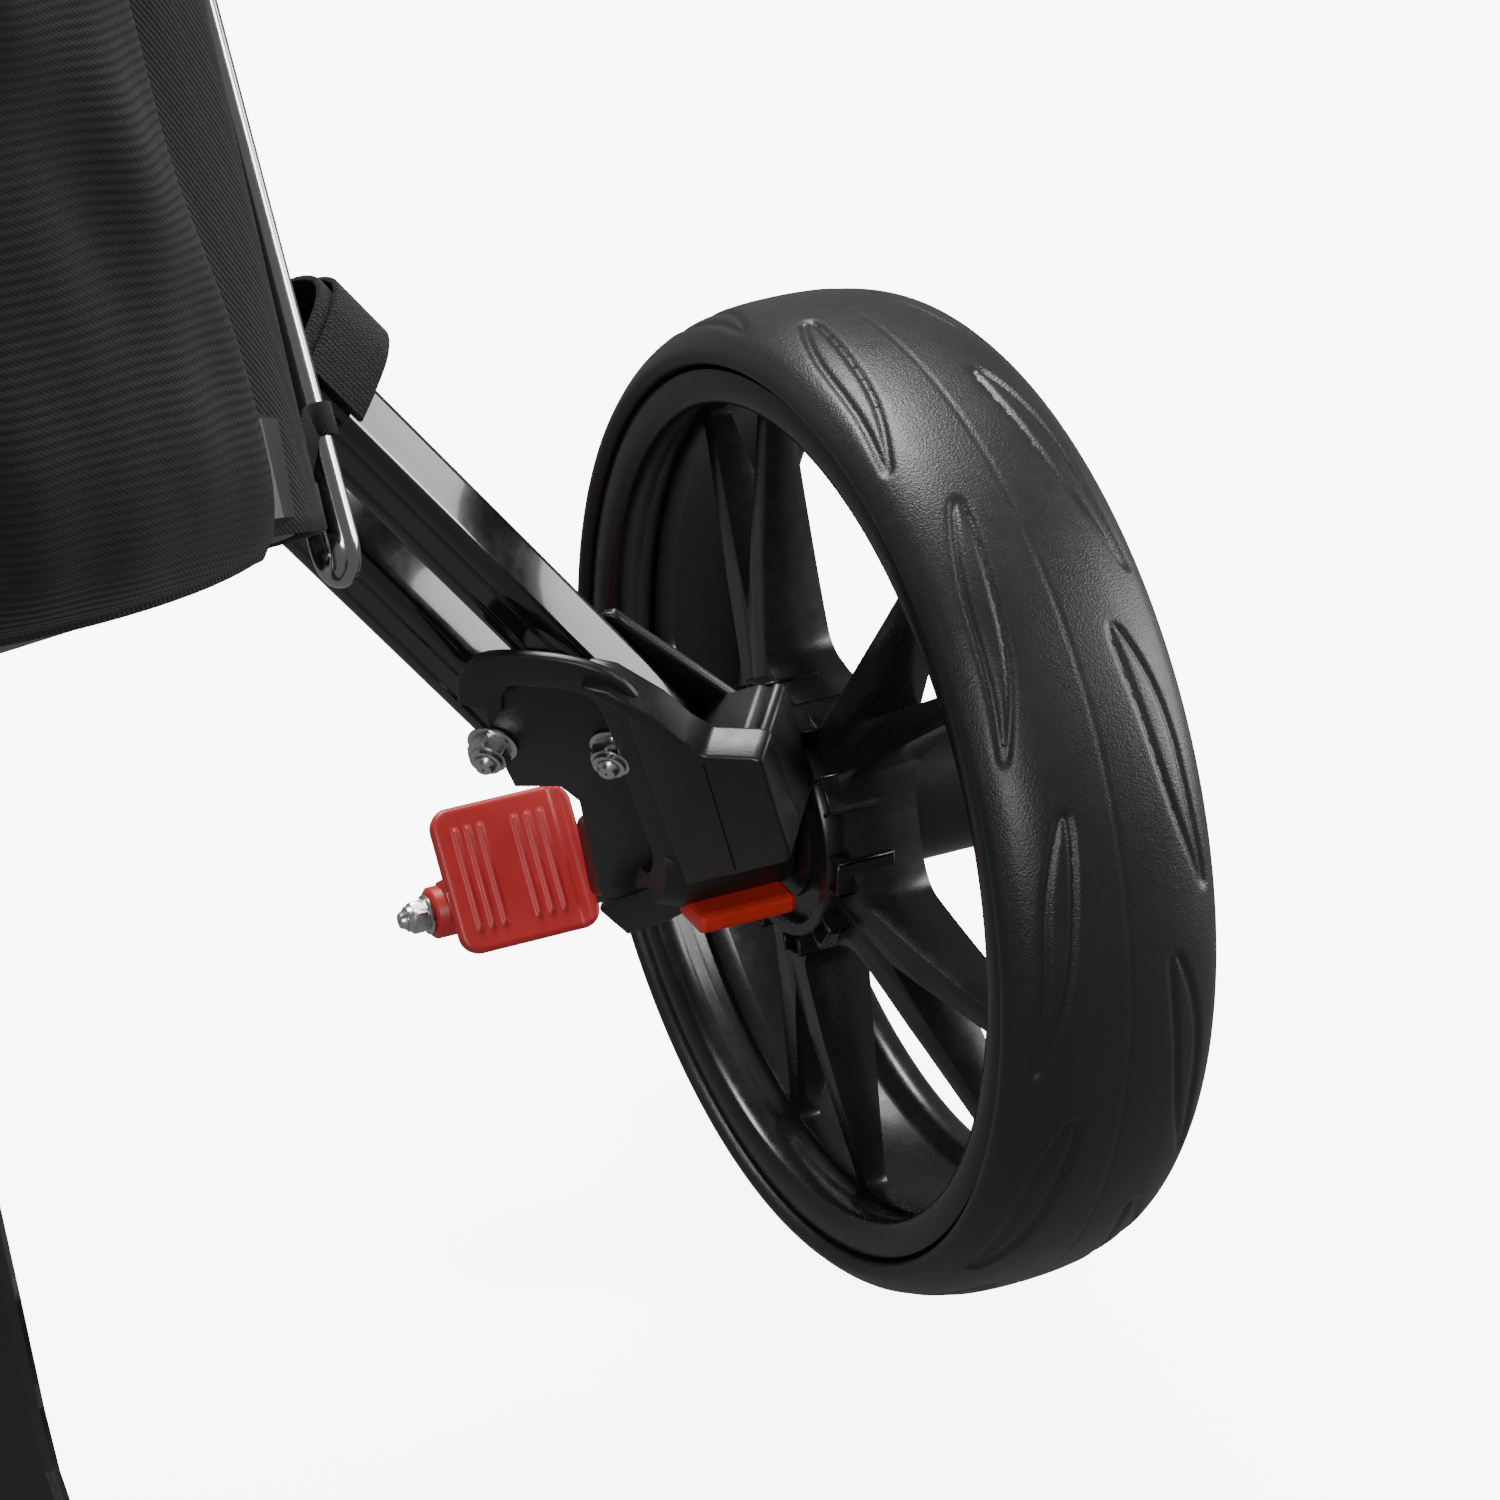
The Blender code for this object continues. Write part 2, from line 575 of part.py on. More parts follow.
ft = [(.1200, 0), (.1195, .010), (.1178, .018), (.1145, .0235), (.1105, .0255), (.1075, .0252), (.1054, .0235)]
ft = ft + [(r, -h) for r, h in ft[::-1] if h > 0]
node("front_tyre", tmp(revolve(ft, FW, (1, 0, 0), (0, 0, 1), 40)), M_TYRE, FW)
frim = rim_solid(FW, vec(1, 0, 0), .1050, .0960, .0980, .0220, (90, 162, 234, 306, 18), None, .0170, .0335, -.0335, -.008, .008, 0,
                 (.0120, .0400, .0460, .0070, 13, .0055), .0053, 40)
node("front_rim", frim, M_RIM, FW)
node("front_axle", bolt(FW, (1, 0, 0), -.0460, .0460, .0050, .0085, .006), M_STEEL, FW)

# ------------------------------------------------------------ bag brackets
def cradle(s0, s1, half_deg, tube_w, tube_h, shelf, name, r_in=BAG_R + .0035, thick=.006):
    ri, ro = r_in, r_in + thick
    n = 14
    pts = []
    for i in range(n + 1):
        a = radians(-half_deg + 2 * half_deg * i / n)
        pts.append((ri * sin(a), ri * cos(a)))
    for i in range(n + 1):
        a = radians(half_deg - 2 * half_deg * i / n)
        pts.append((ro * sin(a), ro * cos(a)))
    m = frame_m(C, (1, 0, 0), E, A)
    if np.linalg.det(m[:3, :3]) < 0:
        m = frame_m(C, (-1, 0, 0), E, A)
    o = tmp(prism(pts, s0, s1, m))
    y0 = TUBE_E - tube_h - .0005
    blk_ = tmp(box((-tube_w - .006, BAG_R + .005, s0 + .004), (tube_w + .006, TUBE_E + tube_h + .006, s1 - .004), m, .003, 1))
    o = union(o, blk_)
    if shelf:
        o = union(o, tmp(box((-.030, -.030, -.0095), (.030, TUBE_E + tube_h + .004, -.0012), m, .002, 1)))
        o = union(o, tmp(box((-tube_w - .0052, BAG_R + .004, -.0088), (tube_w + .0052, TUBE_E + tube_h + .0052, s0 + .01), m, .002, 1)))
    sec = rrect(tube_w + GAP, tube_h + GAP, .005, 3)
    o = cut(o, tmp(sweep([Q(s0 - .06), Q(s1 + .06)], sec, vec(0, -.3, 1))))
    return node(name, o, M_BLACK, tuple(Q((s0 + s1) / 2)))


cradle(.020, .060, 66, .0180, .0160, True, "lower_bracket")
cradle(.600, .640, 62, .0180, .0160, False, "upper_bracket")

# ------------------------------------------------------------ handle
m_t = frame_m(C + E * TUBE_E, (1, 0, 0), E, A)
if np.linalg.det(m_t[:3, :3]) < 0:
    m_t = frame_m(C + E * TUBE_E, (-1, 0, 0), E, A)
cl = tmp(box((-.0240, -.0230, .6500), (.0240, .0230, .7400), m_t, .005, 2))
cl = cut(cl, tmp(sweep([Q(.60), Q(.6604)], rrect(.0180 + GAP, .0160 + GAP, .005, 3), vec(0, -.3, 1))))
cl = cut(cl, tmp(sweep([Q(.7046), Q(.80)], rrect(.0150 + GAP, .0130 + GAP, .004, 3), vec(0, -.3, 1))))
PV = Q(.695, TUBE_E + .032)          # clamp lever pivot
for sg in (1, -1):
    cl = union(cl, tmp(box((sg * .0200 - .003, .0200, .6860), (sg * .0200 + .003, .0400, .7040), m_t, .0015, 1)))
cl = cut(cl, tmp(rod(PV - vec(.04, 0, 0), PV + vec(.04, 0, 0), .0033, 16)))
node("clamp_housing", cl, M_BLACK, tuple(Q(.70)))
lv = tmp(box((-.0150, .0265, .6200), (.0150, .0335, .7010), m_t, .002, 2))
lv = union(lv, tmp(rod(PV - vec(.0150, 0, 0), PV + vec(.0150, 0, 0), .0070, 20)))
lv = cut(lv, tmp(rod(PV - vec(.04, 0, 0), PV + vec(.04, 0, 0), .0033, 16)))
node("clamp_lever", lv, M_RED, tuple(PV))
node("clamp_pin", tmp(rod(PV - vec(.0255, 0, 0), PV + vec(.0255, 0, 0), .0030, 12)), M_STEEL, tuple(PV))

# handle head: fixed fork at the tube's top, swinging handle on a cross bolt
HP = Q(.975)
hd = tmp(box((-.0200, -.0180, .9400), (.0200, .0180, .9570), m_t, .004, 2))
for sg in (1, -1):
    ear = rrect(.0165, .0260, .0120, 3)
    ear = [(y, z + .963) for y, z in ear]
    x0, x1 = sorted((sg * .0120, sg * .0190))
    fm_ = frame_m(C + E * TUBE_E, E, A, (1, 0, 0)) if np.linalg.det(frame_m(C, E, A, (1, 0, 0))[:3, :3]) > 0 else frame_m(C + E * TUBE_E, E, A, (-1, 0, 0))
    hd = union(hd, tmp(prism(ear, x0, x1, fm_)))
hd = cut(hd, tmp(sweep([Q(.80), Q(.9454)], rrect(.0150 + GAP, .0130 + GAP, .004, 3), vec(0, -.3, 1))))
hd = cut(hd, tmp(rod(HP - vec(.04, 0, 0), HP + vec(.04, 0, 0), .0043, 16)))
node("handle_fork", hd, M_BLACK, tuple(Q(.94)))
H1 = unit((0, .98, .2))
HS = np.cross(vec(1, 0, 0), H1)
hub2 = tmp(rod(HP - vec(.0112, 0, 0), HP + vec(.0112, 0, 0), .0150, 24))
stem_end = HP + H1 * .060
stem = tmp(box((-.0110, .010, -.0100), (.0110, .062, .0100), frame_m(HP, (1, 0, 0), H1, HS) if np.linalg.det(frame_m(HP, (1, 0, 0), H1, HS)[:3, :3]) > 0 else frame_m(HP, (-1, 0, 0), H1, HS), .002, 1))
loop = []
for x, y, r_ in ((.0, .066, 0), (.075, .068, 0), (.135, .100, 0), (.148, .160, 0), (.120, .205, 0), (.060, .222, 0), (0, .226, 0)):
    loop.append((x, y))
full = loop + [(-x, y) for x, y in loop[::-1][1:-1]]
# smooth the loop
P = np.array(full)
for _ in range(1):
    P = np.concatenate([np.stack([.75 * P[i] + .25 * P[(i + 1) % len(P)], .25 * P[i] + .75 * P[(i + 1) % len(P)]]) for i in range(len(P))])
P = P[::2] if len(P) > 40 else P
lp = [HP + vec(1, 0, 0) * x + H1 * y for x, y in P]
ring = tmp(sweep(lp, circle(.0095, 10), HS, closed=True))
hnd = union(hub2, stem, ring)
hnd = cut(hnd, tmp(rod(HP - vec(.04, 0, 0), HP + vec(.04, 0, 0), .0043, 16)))
node("handle", hnd, M_TUBE, tuple(HP))
node("handle_bolt", bolt(HP, (1, 0, 0), -.0190, .0190, .0040, .0075, .005), M_STEEL, tuple(HP))
# foam grip over the far side of the loop
far = [i for i, p in enumerate(P) if p[1] > .165]
seq = sorted(far, key=lambda i: P[i][0])
gp = [HP + vec(1, 0, 0) * P[i][0] + H1 * P[i][1] for i in seq]


def tube_solid(path, ro, ri, n, upv):
    path = [np.array(p, float) for p in path]
    vs, fs = [], []
    m = len(path)
    for i, p in enumerate(path):
        a = path[max(i - 1, 0)]
        b_ = path[min(i + 1, m - 1)]
        t = unit(b_ - a)
        s = unit(np.cross(t, upv))
        w = np.cross(s, t)
        for r in (ro, ri):
            for q in range(n):
                an = 2 * pi * q / n
                vs.append(p + s * r * cos(an) + w * r * sin(an))
    k = 2 * n
    for i in range(m - 1):
        for base in (0, n):
            for q in range(n):
                z = (q + 1) % n
                fs.append((i * k + base + q, i * k + base + z, (i + 1) * k + base + z, (i + 1) * k + base + q))
    for i in (0, m - 1):
        for q in range(n):
            z = (q + 1) % n
            fs.append((i * k + q, i * k + z, i * k + n + z, i * k + n + q))
    return bm_of(vs, fs)


node("handle_grip", tmp(tube_solid(gp, .0158, .0114, 10, HS)), M_GRIP, tuple(HP + H1 * .22))

# console tray with a lid, on the upper tube
con = tmp(box((-.070, -.0620, .8650), (.070, -.0150, .9280), m_t, .008, 2))
con = cut(con, tmp(box((-.0605, -.0750, .8745), (.0605, -.0260, .9185), m_t, .005, 2)))
con = union(con, tmp(box((-.0217, -.0207, .8762), (.0217, .0193, .9167), m_t, .003, 1)))
con = cut(con, tmp(sweep([Q(.80), Q(.98)], rrect(.0150 + GAP, .0130 + GAP, .004, 3), vec(0, -.3, 1))))
CH = Q(.9330, TUBE_E - .0655)
node("console_tray", con, M_BLACK, tuple(Q(.89, TUBE_E - .04)))
lid = tmp(box((-.070, -.0680, .8650), (.070, -.0625, .9280), m_t, .002, 2))
lid = union(lid, tmp(rod(CH - vec(.030, 0, 0), CH + vec(.030, 0, 0), .0035, 12)), tmp(box((-.0300, -.0675, .9250), (.0300, -.0635, .9335), m_t)))
node("console_lid", lid, M_BLACK, tuple(CH))

# cup holder on the tube's side
CHC = Q(.80, TUBE_E + .0, .105)
cup = tmp(turned([(.0340, -.045), (.0400, .045)], CHC, (0, 0, 1), (1, 0, 0), 20))
cup = cut(cup, tmp(turned([(.0300, -.040), (.0370, .060)], CHC, (0, 0, 1), (1, 0, 0), 20)))
cb = tmp(box((.0160, -.0100, .7850), (.0760, .0100, .8150), m_t, .002, 1))
if m_t[0, 0] < 0:
    cb = mirrored(cb)
cbk = tmp(box((-.0210, -.0190, .7800), (.0210, .0190, .8200), m_t, .003, 1))
arm = union(cbk, cb)
arm = cut(arm, tmp(sweep([Q(.75), Q(.85)], rrect(.0150 + GAP, .0130 + GAP, .004, 3), vec(0, -.3, 1))))
arm = cut(arm, tmp(turned([(.0330, -.0446), (.0372, .06)], CHC, (0, 0, 1), (1, 0, 0), 20)))
cup = union(cup, arm)
node("cup_holder", cup, M_BLACK, tuple(CHC))

# ------------------------------------------------------------ bag
RI = BAG_R - BAG_WALL
shell = tmp(revolve([(BAG_R, 0), (BAG_R, BAG_LEN), (RI, BAG_LEN), (RI, 0)], C, A, (1, 0, 0), 40))
node("bag_shell", shell, M_FABRIC, tuple(C))
node("bag_base", tmp(turned([(RI - .004, .0010), (RI - GAP, .0040), (RI - GAP, .0260), (RI - .003, .0280)], C, A, (1, 0, 0), 28)), M_BLACK, tuple(C))
cuff = tmp(revolve([(BAG_R + .003, BAG_LEN + GAP), (BAG_R + .006, BAG_LEN + .006), (BAG_R + .006, BAG_LEN + .040), (BAG_R + .001, BAG_LEN + .046),
                    (RI - .001, BAG_LEN + .044), (RI - .003, BAG_LEN + .038), (RI - .003, BAG_LEN + GAP)], C, A, (1, 0, 0), 40))
mb = frame_m(C, (1, 0, 0), E, A)
if np.linalg.det(mb[:3, :3]) < 0:
    mb = frame_m(C, (-1, 0, 0), E, A)
cuff = union(cuff, tmp(box((-RI, -.0035, BAG_LEN + .006), (RI, .0035, BAG_LEN + .030), mb)), tmp(box((-.0035, -RI, BAG_LEN + .006), (.0035, RI, BAG_LEN + .030), mb)))
node("bag_cuff", cuff, M_BLACK, tuple(C + A * BAG_LEN))


def pocket(name, poly, s0, s1, bev, mat=M_FABRIC, extra=None):
    b = prism(poly, s0, s1, mb)
    ed = [e for e in b.edges]
    bmesh.ops.bevel(b, geom=ed, offset=bev, segments=2, profile=.5, affect="EDGES", clamp_overlap=True)
    bmesh.ops.recalc_face_normals(b, faces=b.faces)
    o = tmp(b)
    o = cut(o, tmp(turned([(BAG_R + GAP, -.05), (BAG_R + GAP, BAG_LEN + .05)], C, A, (1, 0, 0), 40)))
    return o


fp_ = pocket("front_pocket", [(-.064, -.052), (-.046, -.130), (.046, -.130), (.064, -.052)], .002, .300, .012)
node("front_pocket", fp_, M_FABRIC, tuple(C + A * .15 - E * .12))
up_ = pocket("upper_pocket", [(-.070, -.050), (-.056, -.122), (.056, -.122), (.070, -.050)], .320, .560, .010)
node("upper_pocket", up_, M_FABRIC, tuple(C + A * .44 - E * .10))
for sg, nm in ((1, "l"), (-1, "r")):
    pl = [(sg * .072, .047), (sg * .1135, .050), (sg * .104, .078), (sg * .050, .082)]
    if sg < 0:
        pl = pl[::-1]
    sp = pocket("side", pl, .200, .550, .010)
    node("side_pocket_" + nm, sp, M_FABRIC, tuple(C + A * .38 + vec(sg * .11, 0, 0)))
# carry handle on the bag's upper face
ch = [C - E * (BAG_R + .0040) + A * s for s in (.600,)]
chp = [C - E * (BAG_R + d) + A * s for s, d in ((.590, .0046), (.612, .0046), (.640, .026), (.700, .026), (.728, .0046), (.750, .0046))]
node("carry_handle", tmp(sweep(fillet(chp, .012, 3), rrect(.0140, .0030, .002, 1), vec(0, -.9, -.43))), M_WEB, tuple(C - E * BAG_R + A * .67))

# bright rods: a hairpin each side, its short leg tucked back beside the long one
RB = vec(.1008, -.1740, .3490)
rdir = vec(0, sin(radians(35.5)), cos(radians(35.5)))


def hairpin():
    e_side = unit(E - rdir * np.dot(E, rdir))
    p_top = RB + rdir * .470
    pts = [p_top, RB + rdir * .0060]
    c0 = RB + rdir * .0060 + e_side * .0070
    for i in range(1, 8):
        a = pi * i / 8
        pts.append(c0 - e_side * .0070 * cos(a) - rdir * .0070 * sin(a))
    pts.append(RB + rdir * .0060 + e_side * .0140)
    pts.append(RB + rdir * .0500 + e_side * .0140)
    return sweep(pts, circle(.0036, 10), (1, 0, 0))


pair("bag_rod", tmp(hairpin()), M_CHROME, RB)

# straps: one round the bag at each bracket, one on the leg
def band(name, s0, s1, r0, th, gapdeg, stretch=0.0, front=None):
    pts_o, pts_i = [], []
    n = 40
    for i in range(n + 1):
        a = radians(gapdeg + (360 - 2 * gapdeg) * i / n)
        d = (sin(a), cos(a))
        pts_i.append((r0 * d[0], r0 * d[1]))
        pts_o.append(((r0 + th) * d[0], (r0 + th) * d[1]))
    return prism(pts_i + pts_o[::-1], s0, s1, mb)


node("upper_strap", tmp(band("u", .5655, .5860, BAG_R + .0012, .0022, 20)), M_WEB, tuple(C + A * .576 + E * BAG_R))
m_s = frame_m(PUK + L * .140, Mv, T, L)
ls = tmp(prism(rrect(BAR_H / 2 + .0032, BAR_W / 2 + .0032, .0040, 2), -.0135, .0135, m_s))
ls = cut(ls, tmp(prism(rrect(BAR_H / 2 + .0010, BAR_W / 2 + .0010, .0035, 2), -.03, .03, m_s)))
node("leg_strap", ls, M_WEB, tuple(PUK + L * .14))

bpy.context.view_layer.update()
lo_, hi_ = [1e9] * 3, [-1e9] * 3
for o in NODES:
    for v in o.data.vertices:
        w = o.matrix_world @ v.co
        for i in range(3):
            lo_[i] = min(lo_[i], w[i])
            hi_[i] = max(hi_[i], w[i])
print("NODES", len(NODES), "TRIS", sum(len(o.data.polygons) for o in NODES), "BOX", [round(v, 5) for v in lo_ + hi_])
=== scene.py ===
"""Looks for the golf bag on push cart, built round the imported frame. Metres, +Z up."""
import bpy
import bmesh
import json
import numpy as np
from math import pi, sin, cos, radians, sqrt
from mathutils import Vector, Matrix


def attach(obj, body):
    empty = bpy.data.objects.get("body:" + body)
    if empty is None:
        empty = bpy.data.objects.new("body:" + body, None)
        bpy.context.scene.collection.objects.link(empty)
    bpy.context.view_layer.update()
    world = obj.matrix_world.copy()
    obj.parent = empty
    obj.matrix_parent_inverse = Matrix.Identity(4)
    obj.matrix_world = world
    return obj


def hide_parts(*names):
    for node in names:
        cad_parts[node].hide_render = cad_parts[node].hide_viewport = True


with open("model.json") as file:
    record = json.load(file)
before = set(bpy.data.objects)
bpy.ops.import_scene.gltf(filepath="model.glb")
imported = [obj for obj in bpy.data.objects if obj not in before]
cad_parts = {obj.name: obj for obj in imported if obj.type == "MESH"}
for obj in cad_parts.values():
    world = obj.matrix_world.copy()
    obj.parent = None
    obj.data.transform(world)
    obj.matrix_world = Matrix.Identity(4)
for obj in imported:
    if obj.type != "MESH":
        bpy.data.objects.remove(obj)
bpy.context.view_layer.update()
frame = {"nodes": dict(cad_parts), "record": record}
N = frame["nodes"]


# ------------------------------------------------------------ geometry shared with the CAD
def vec(*p):
    return np.array(p, float)


def unit(v):
    v = np.array(v, float)
    return v / np.linalg.norm(v)


YA = 0.01089
OY = vec(0, YA, 0)
LEAN = radians(30)
BAG_R = .095
BAG_LEN = .80
LEG_LEN = .292
A = vec(0, sin(LEAN), cos(LEAN))
E = vec(0, cos(LEAN), -sin(LEAN))
C = vec(0, -.165, .352) + OY
TUBE_E = BAG_R + .026
X = vec(1, 0, 0)
L = unit((-0.616, 0.103, 0.781))
t0 = vec(-0.667, -0.667, -0.33)
T = unit(t0 - L * np.dot(t0, L))
Mv = np.cross(T, L)
PUK = vec(.25, -.0044, .1949) + OY
PLK = PUK + L * .014 + Mv * .034
PUH = PUK + L * LEG_LEN
PLH = PLK + L * LEG_LEN
WC = vec(.33, 0, .145) + OY
FW = vec(0, -.565, .120) + OY
SPOKES = (56, 128, 200, 272, 344)


def Q(s, e=TUBE_E, x=0.0):
    return C + vec(x, 0, 0) + E * e + A * s


def B(x, e, s):
    """A point in the bag's own frame: across, towards the tube, up the bag."""
    return C + X * x + E * e + A * s


HP = Q(.975)
H1 = unit((0, .98, .2))
HS = np.cross(X, H1)
COL = bpy.context.scene.collection


# ------------------------------------------------------------ mesh helpers
def obj_of(name, verts, faces, uv=None, smooth=True, sharp=None):
    me = bpy.data.meshes.new(name)
    me.from_pydata([tuple(map(float, v)) for v in verts], [], [tuple(int(i) for i in f) for f in faces])
    me.validate()
    if uv is not None:
        lay = me.uv_layers.new(name="UVMap")
        idx = np.zeros(len(me.loops), np.int32)
        me.loops.foreach_get("vertex_index", idx)
        lay.data.foreach_set("uv", np.array(uv, np.float32)[idx].ravel())
    o = bpy.data.objects.new(name, me)
    COL.objects.link(o)
    fix_normals(o)
    if smooth:
        me.shade_smooth()
    if sharp:
        me.set_sharp_from_angle(angle=radians(sharp))
    return o


def fix_normals(o):
    b = bmesh.new()
    b.from_mesh(o.data)
    bmesh.ops.recalc_face_normals(b, faces=b.faces)
    b.to_mesh(o.data)
    b.free()


def grid_faces(n, m, close_n=False, close_m=False):
    f = []
    for i in range(n if close_n else n - 1):
        for j in range(m if close_m else m - 1):
            a, c = (i + 1) % n, (j + 1) % m
            f.append((i * m + j, i * m + c, a * m + c, a * m + j))
    return f


def join(name, *objs):
    """Several temporary objects as one."""
    b = bmesh.new()
    for o in objs:
        t = bmesh.new()
        t.from_mesh(o.data)
        t.transform(o.matrix_world)
        me = bpy.data.meshes.new("t")
        t.to_mesh(me)
        t.free()
        b.from_mesh(me)
        bpy.data.meshes.remove(me)
    me = bpy.data.meshes.new(name)
    b.to_mesh(me)
    b.free()
    for o in objs:
        d = o.data
        bpy.data.objects.remove(o, do_unlink=True)
        bpy.data.meshes.remove(d)
    o = bpy.data.objects.new(name, me)
    COL.objects.link(o)
    me.shade_smooth()
    return o


def boolean(a, k, op="DIFFERENCE"):
    md = a.modifiers.new("b", "BOOLEAN")
    md.operation = op
    md.solver = "EXACT"
    md.object = k
    dg = bpy.context.evaluated_depsgraph_get()
    me = bpy.data.meshes.new_from_object(a.evaluated_get(dg))
    a.modifiers.clear()
    old = a.data
    a.data = me
    bpy.data.meshes.remove(old)
    kd = k.data
    bpy.data.objects.remove(k, do_unlink=True)
    bpy.data.meshes.remove(kd)
    return a


def revolve(name, prof, o, axis, ref, n, closed=True, sharp=None):
    axis, ref = unit(axis), unit(ref)
    third = np.cross(axis, ref)
    prof = np.array(prof, float)
    an = np.arange(n) * 2 * pi / n
    dirs = np.outer(np.cos(an), ref) + np.outer(np.sin(an), third)
    v = np.array(o) + dirs[:, None, :] * prof[None, :, 0, None] + axis * prof[None, :, 1, None]
    k = len(prof)
    f = grid_faces(n, k, True, closed)
    if not closed:
        f.append(tuple(i * k for i in range(n)))
        f.append(tuple(i * k + k - 1 for i in range(n)))
    return obj_of(name, v.reshape(-1, 3), f, sharp=sharp)


def frame_m(o, x, y, z):
    m = np.eye(4)
    m[:3, 0], m[:3, 1], m[:3, 2], m[:3, 3] = x, y, z, o
    return m


def prism(name, poly, h0, h1, m):
    k = len(poly)
    p = np.array([(x, y, h0) for x, y in poly] + [(x, y, h1) for x, y in poly], float)
    p = p @ m[:3, :3].T + m[:3, 3]
    f = [tuple(range(k))[::-1], tuple(i + k for i in range(k))]
    f += [(i, (i + 1) % k, (i + 1) % k + k, i + k) for i in range(k)]
    return obj_of(name, p, f)


def box(name, lo, hi, m):
    return prism(name, [(lo[0], lo[1]), (hi[0], lo[1]), (hi[0], hi[1]), (lo[0], hi[1])], lo[2], hi[2], m)


def rrect(w, h, r, n=5):
    pts = []
    for cx, cy, a0 in ((w - r, h - r, 0), (-w + r, h - r, 90), (-w + r, -h + r, 180), (w - r, -h + r, 270)):
        for i in range(n + 1):
            a = radians(a0 + 90 * i / n)
            pts.append((cx + r * cos(a), cy + r * sin(a)))
    return pts


def chaikin(pts, k=2, closed=True):
    p = np.array(pts, float)
    for _ in range(k):
        q = np.roll(p, -1, 0) if closed else p[1:]
        a = p if closed else p[:-1]
        s = np.stack([.75 * a + .25 * q, .25 * a + .75 * q], 1).reshape(-1, p.shape[1])
        p = s if closed else np.concatenate([p[:1], s, p[-1:]])
    return p


def bevel(o, w, seg=3, angle=35, sharp=60):
    md = o.modifiers.new("edge", "BEVEL")
    md.width = w
    md.segments = seg
    md.limit_method = "ANGLE"
    md.angle_limit = radians(angle)
    md.harden_normals = False
    md.use_clamp_overlap = True
    md.miter_outer = "MITER_ARC"
    if sharp:
        o.data.set_sharp_from_angle(angle=radians(sharp))
    return o


def sweep(name, path, section, up, closed=False, caps=True, uvlen=False, sharp=None):
    path = np.array(path, float)
    n, k = len(path), len(section)
    sec = np.array(section, float)
    vs = []
    for i in range(n):
        if closed:
            t = unit(path[(i + 1) % n] - path[i - 1])
        else:
            t = unit(path[min(i + 1, n - 1)] - path[max(i - 1, 0)])
        upi = up[i] if np.ndim(up) == 2 else up
        s = unit(np.cross(t, upi))
        w = np.cross(s, t)
        vs.append(path[i] + np.outer(sec[:, 0], s) + np.outer(sec[:, 1], w))
    vs = np.array(vs).reshape(-1, 3)
    f = grid_faces(n, k, closed, True)
    if not closed and caps:
        f.append(tuple(range(k)))
        f.append(tuple((n - 1) * k + q for q in range(k)))
    uv = None
    if uvlen:
        d = np.concatenate([[0], np.cumsum(np.linalg.norm(np.diff(path, axis=0), axis=1))])
        uv = np.array([(sec[q, 0], d[i]) for i in range(n) for q in range(k)])
    return obj_of(name, vs, f, uv, sharp=sharp)


def circle(r, n=20):
    return [(r * cos(2 * pi * i / n), r * sin(2 * pi * i / n)) for i in range(n)]


def spline(pts, n):
    """Catmull-Rom through the points, resampled evenly."""
    p = np.array(pts, float)
    q = np.concatenate([[2 * p[0] - p[1]], p, [2 * p[-1] - p[-2]]])
    out = []
    for i in range(1, len(q) - 2):
        for t in np.linspace(0, 1, 24, endpoint=False):
            out.append(.5 * ((2 * q[i]) + (-q[i - 1] + q[i + 1]) * t + (2 * q[i - 1] - 5 * q[i] + 4 * q[i + 1] - q[i + 2]) * t * t + (-q[i - 1] + 3 * q[i] - 3 * q[i + 1] + q[i + 2]) * t ** 3))
    out.append(p[-1])
    out = np.array(out)
    d = np.concatenate([[0], np.cumsum(np.linalg.norm(np.diff(out, axis=0), axis=1))])
    u = np.linspace(0, d[-1], n)
    return np.stack([np.interp(u, d, out[:, c]) for c in range(p.shape[1])], 1)


def smoothstep(a, b, x):
    t = np.clip((x - a) / (b - a), 0, 1)
    return t * t * (3 - 2 * t)


# ------------------------------------------------------------ materials
def nodes_of(name):
    m = bpy.data.materials.new(name)
    m.use_nodes = True
    nt = m.node_tree
    return m, nt, nt.nodes["Principled BSDF"]


def put(nt, kind, **kw):
    n = nt.nodes.new(kind)
    for k, v in kw.items():
        setattr(n, k, v)
    return n


def math(nt, op, a, b=None, c=None):
    n = put(nt, "ShaderNodeMath", operation=op)
    for i, v in enumerate((a, b, c)):
        if v is None:
            continue
        if isinstance(v, (int, float)):
            n.inputs[i].default_value = v
        else:
            nt.links.new(v, n.inputs[i])
    return n.outputs[0]


def noise(nt, co, scale, detail=3, rough=.5):
    n = put(nt, "ShaderNodeTexNoise")
    n.inputs["Scale"].default_value = scale
    n.inputs["Detail"].default_value = detail
    n.inputs["Roughness"].default_value = rough
    nt.links.new(co, n.inputs["Vector"])
    return n.outputs["Fac"]


def remap(nt, v, lo, hi, a=0.3, b=0.7):
    n = put(nt, "ShaderNodeMapRange")
    n.inputs["From Min"].default_value = a
    n.inputs["From Max"].default_value = b
    n.inputs["To Min"].default_value = lo
    n.inputs["To Max"].default_value = hi
    nt.links.new(v, n.inputs["Value"])
    return n.outputs["Result"]


def mixcol(nt, f, a, b):
    n = put(nt, "ShaderNodeMix", data_type="RGBA")
    nt.links.new(f, n.inputs["Factor"])
    for s, v in ((6, a), (7, b)):
        if isinstance(v, tuple):
            n.inputs[s].default_value = (*v, 1)
        else:
            nt.links.new(v, n.inputs[s])
    return n.outputs[2]


def bump(nt, h, strength, dist, prev=None):
    n = put(nt, "ShaderNodeBump")
    n.inputs["Strength"].default_value = strength
    n.inputs["Distance"].default_value = dist
    nt.links.new(h, n.inputs["Height"])
    if prev is not None:
        nt.links.new(prev, n.inputs["Normal"])
    return n.outputs["Normal"]


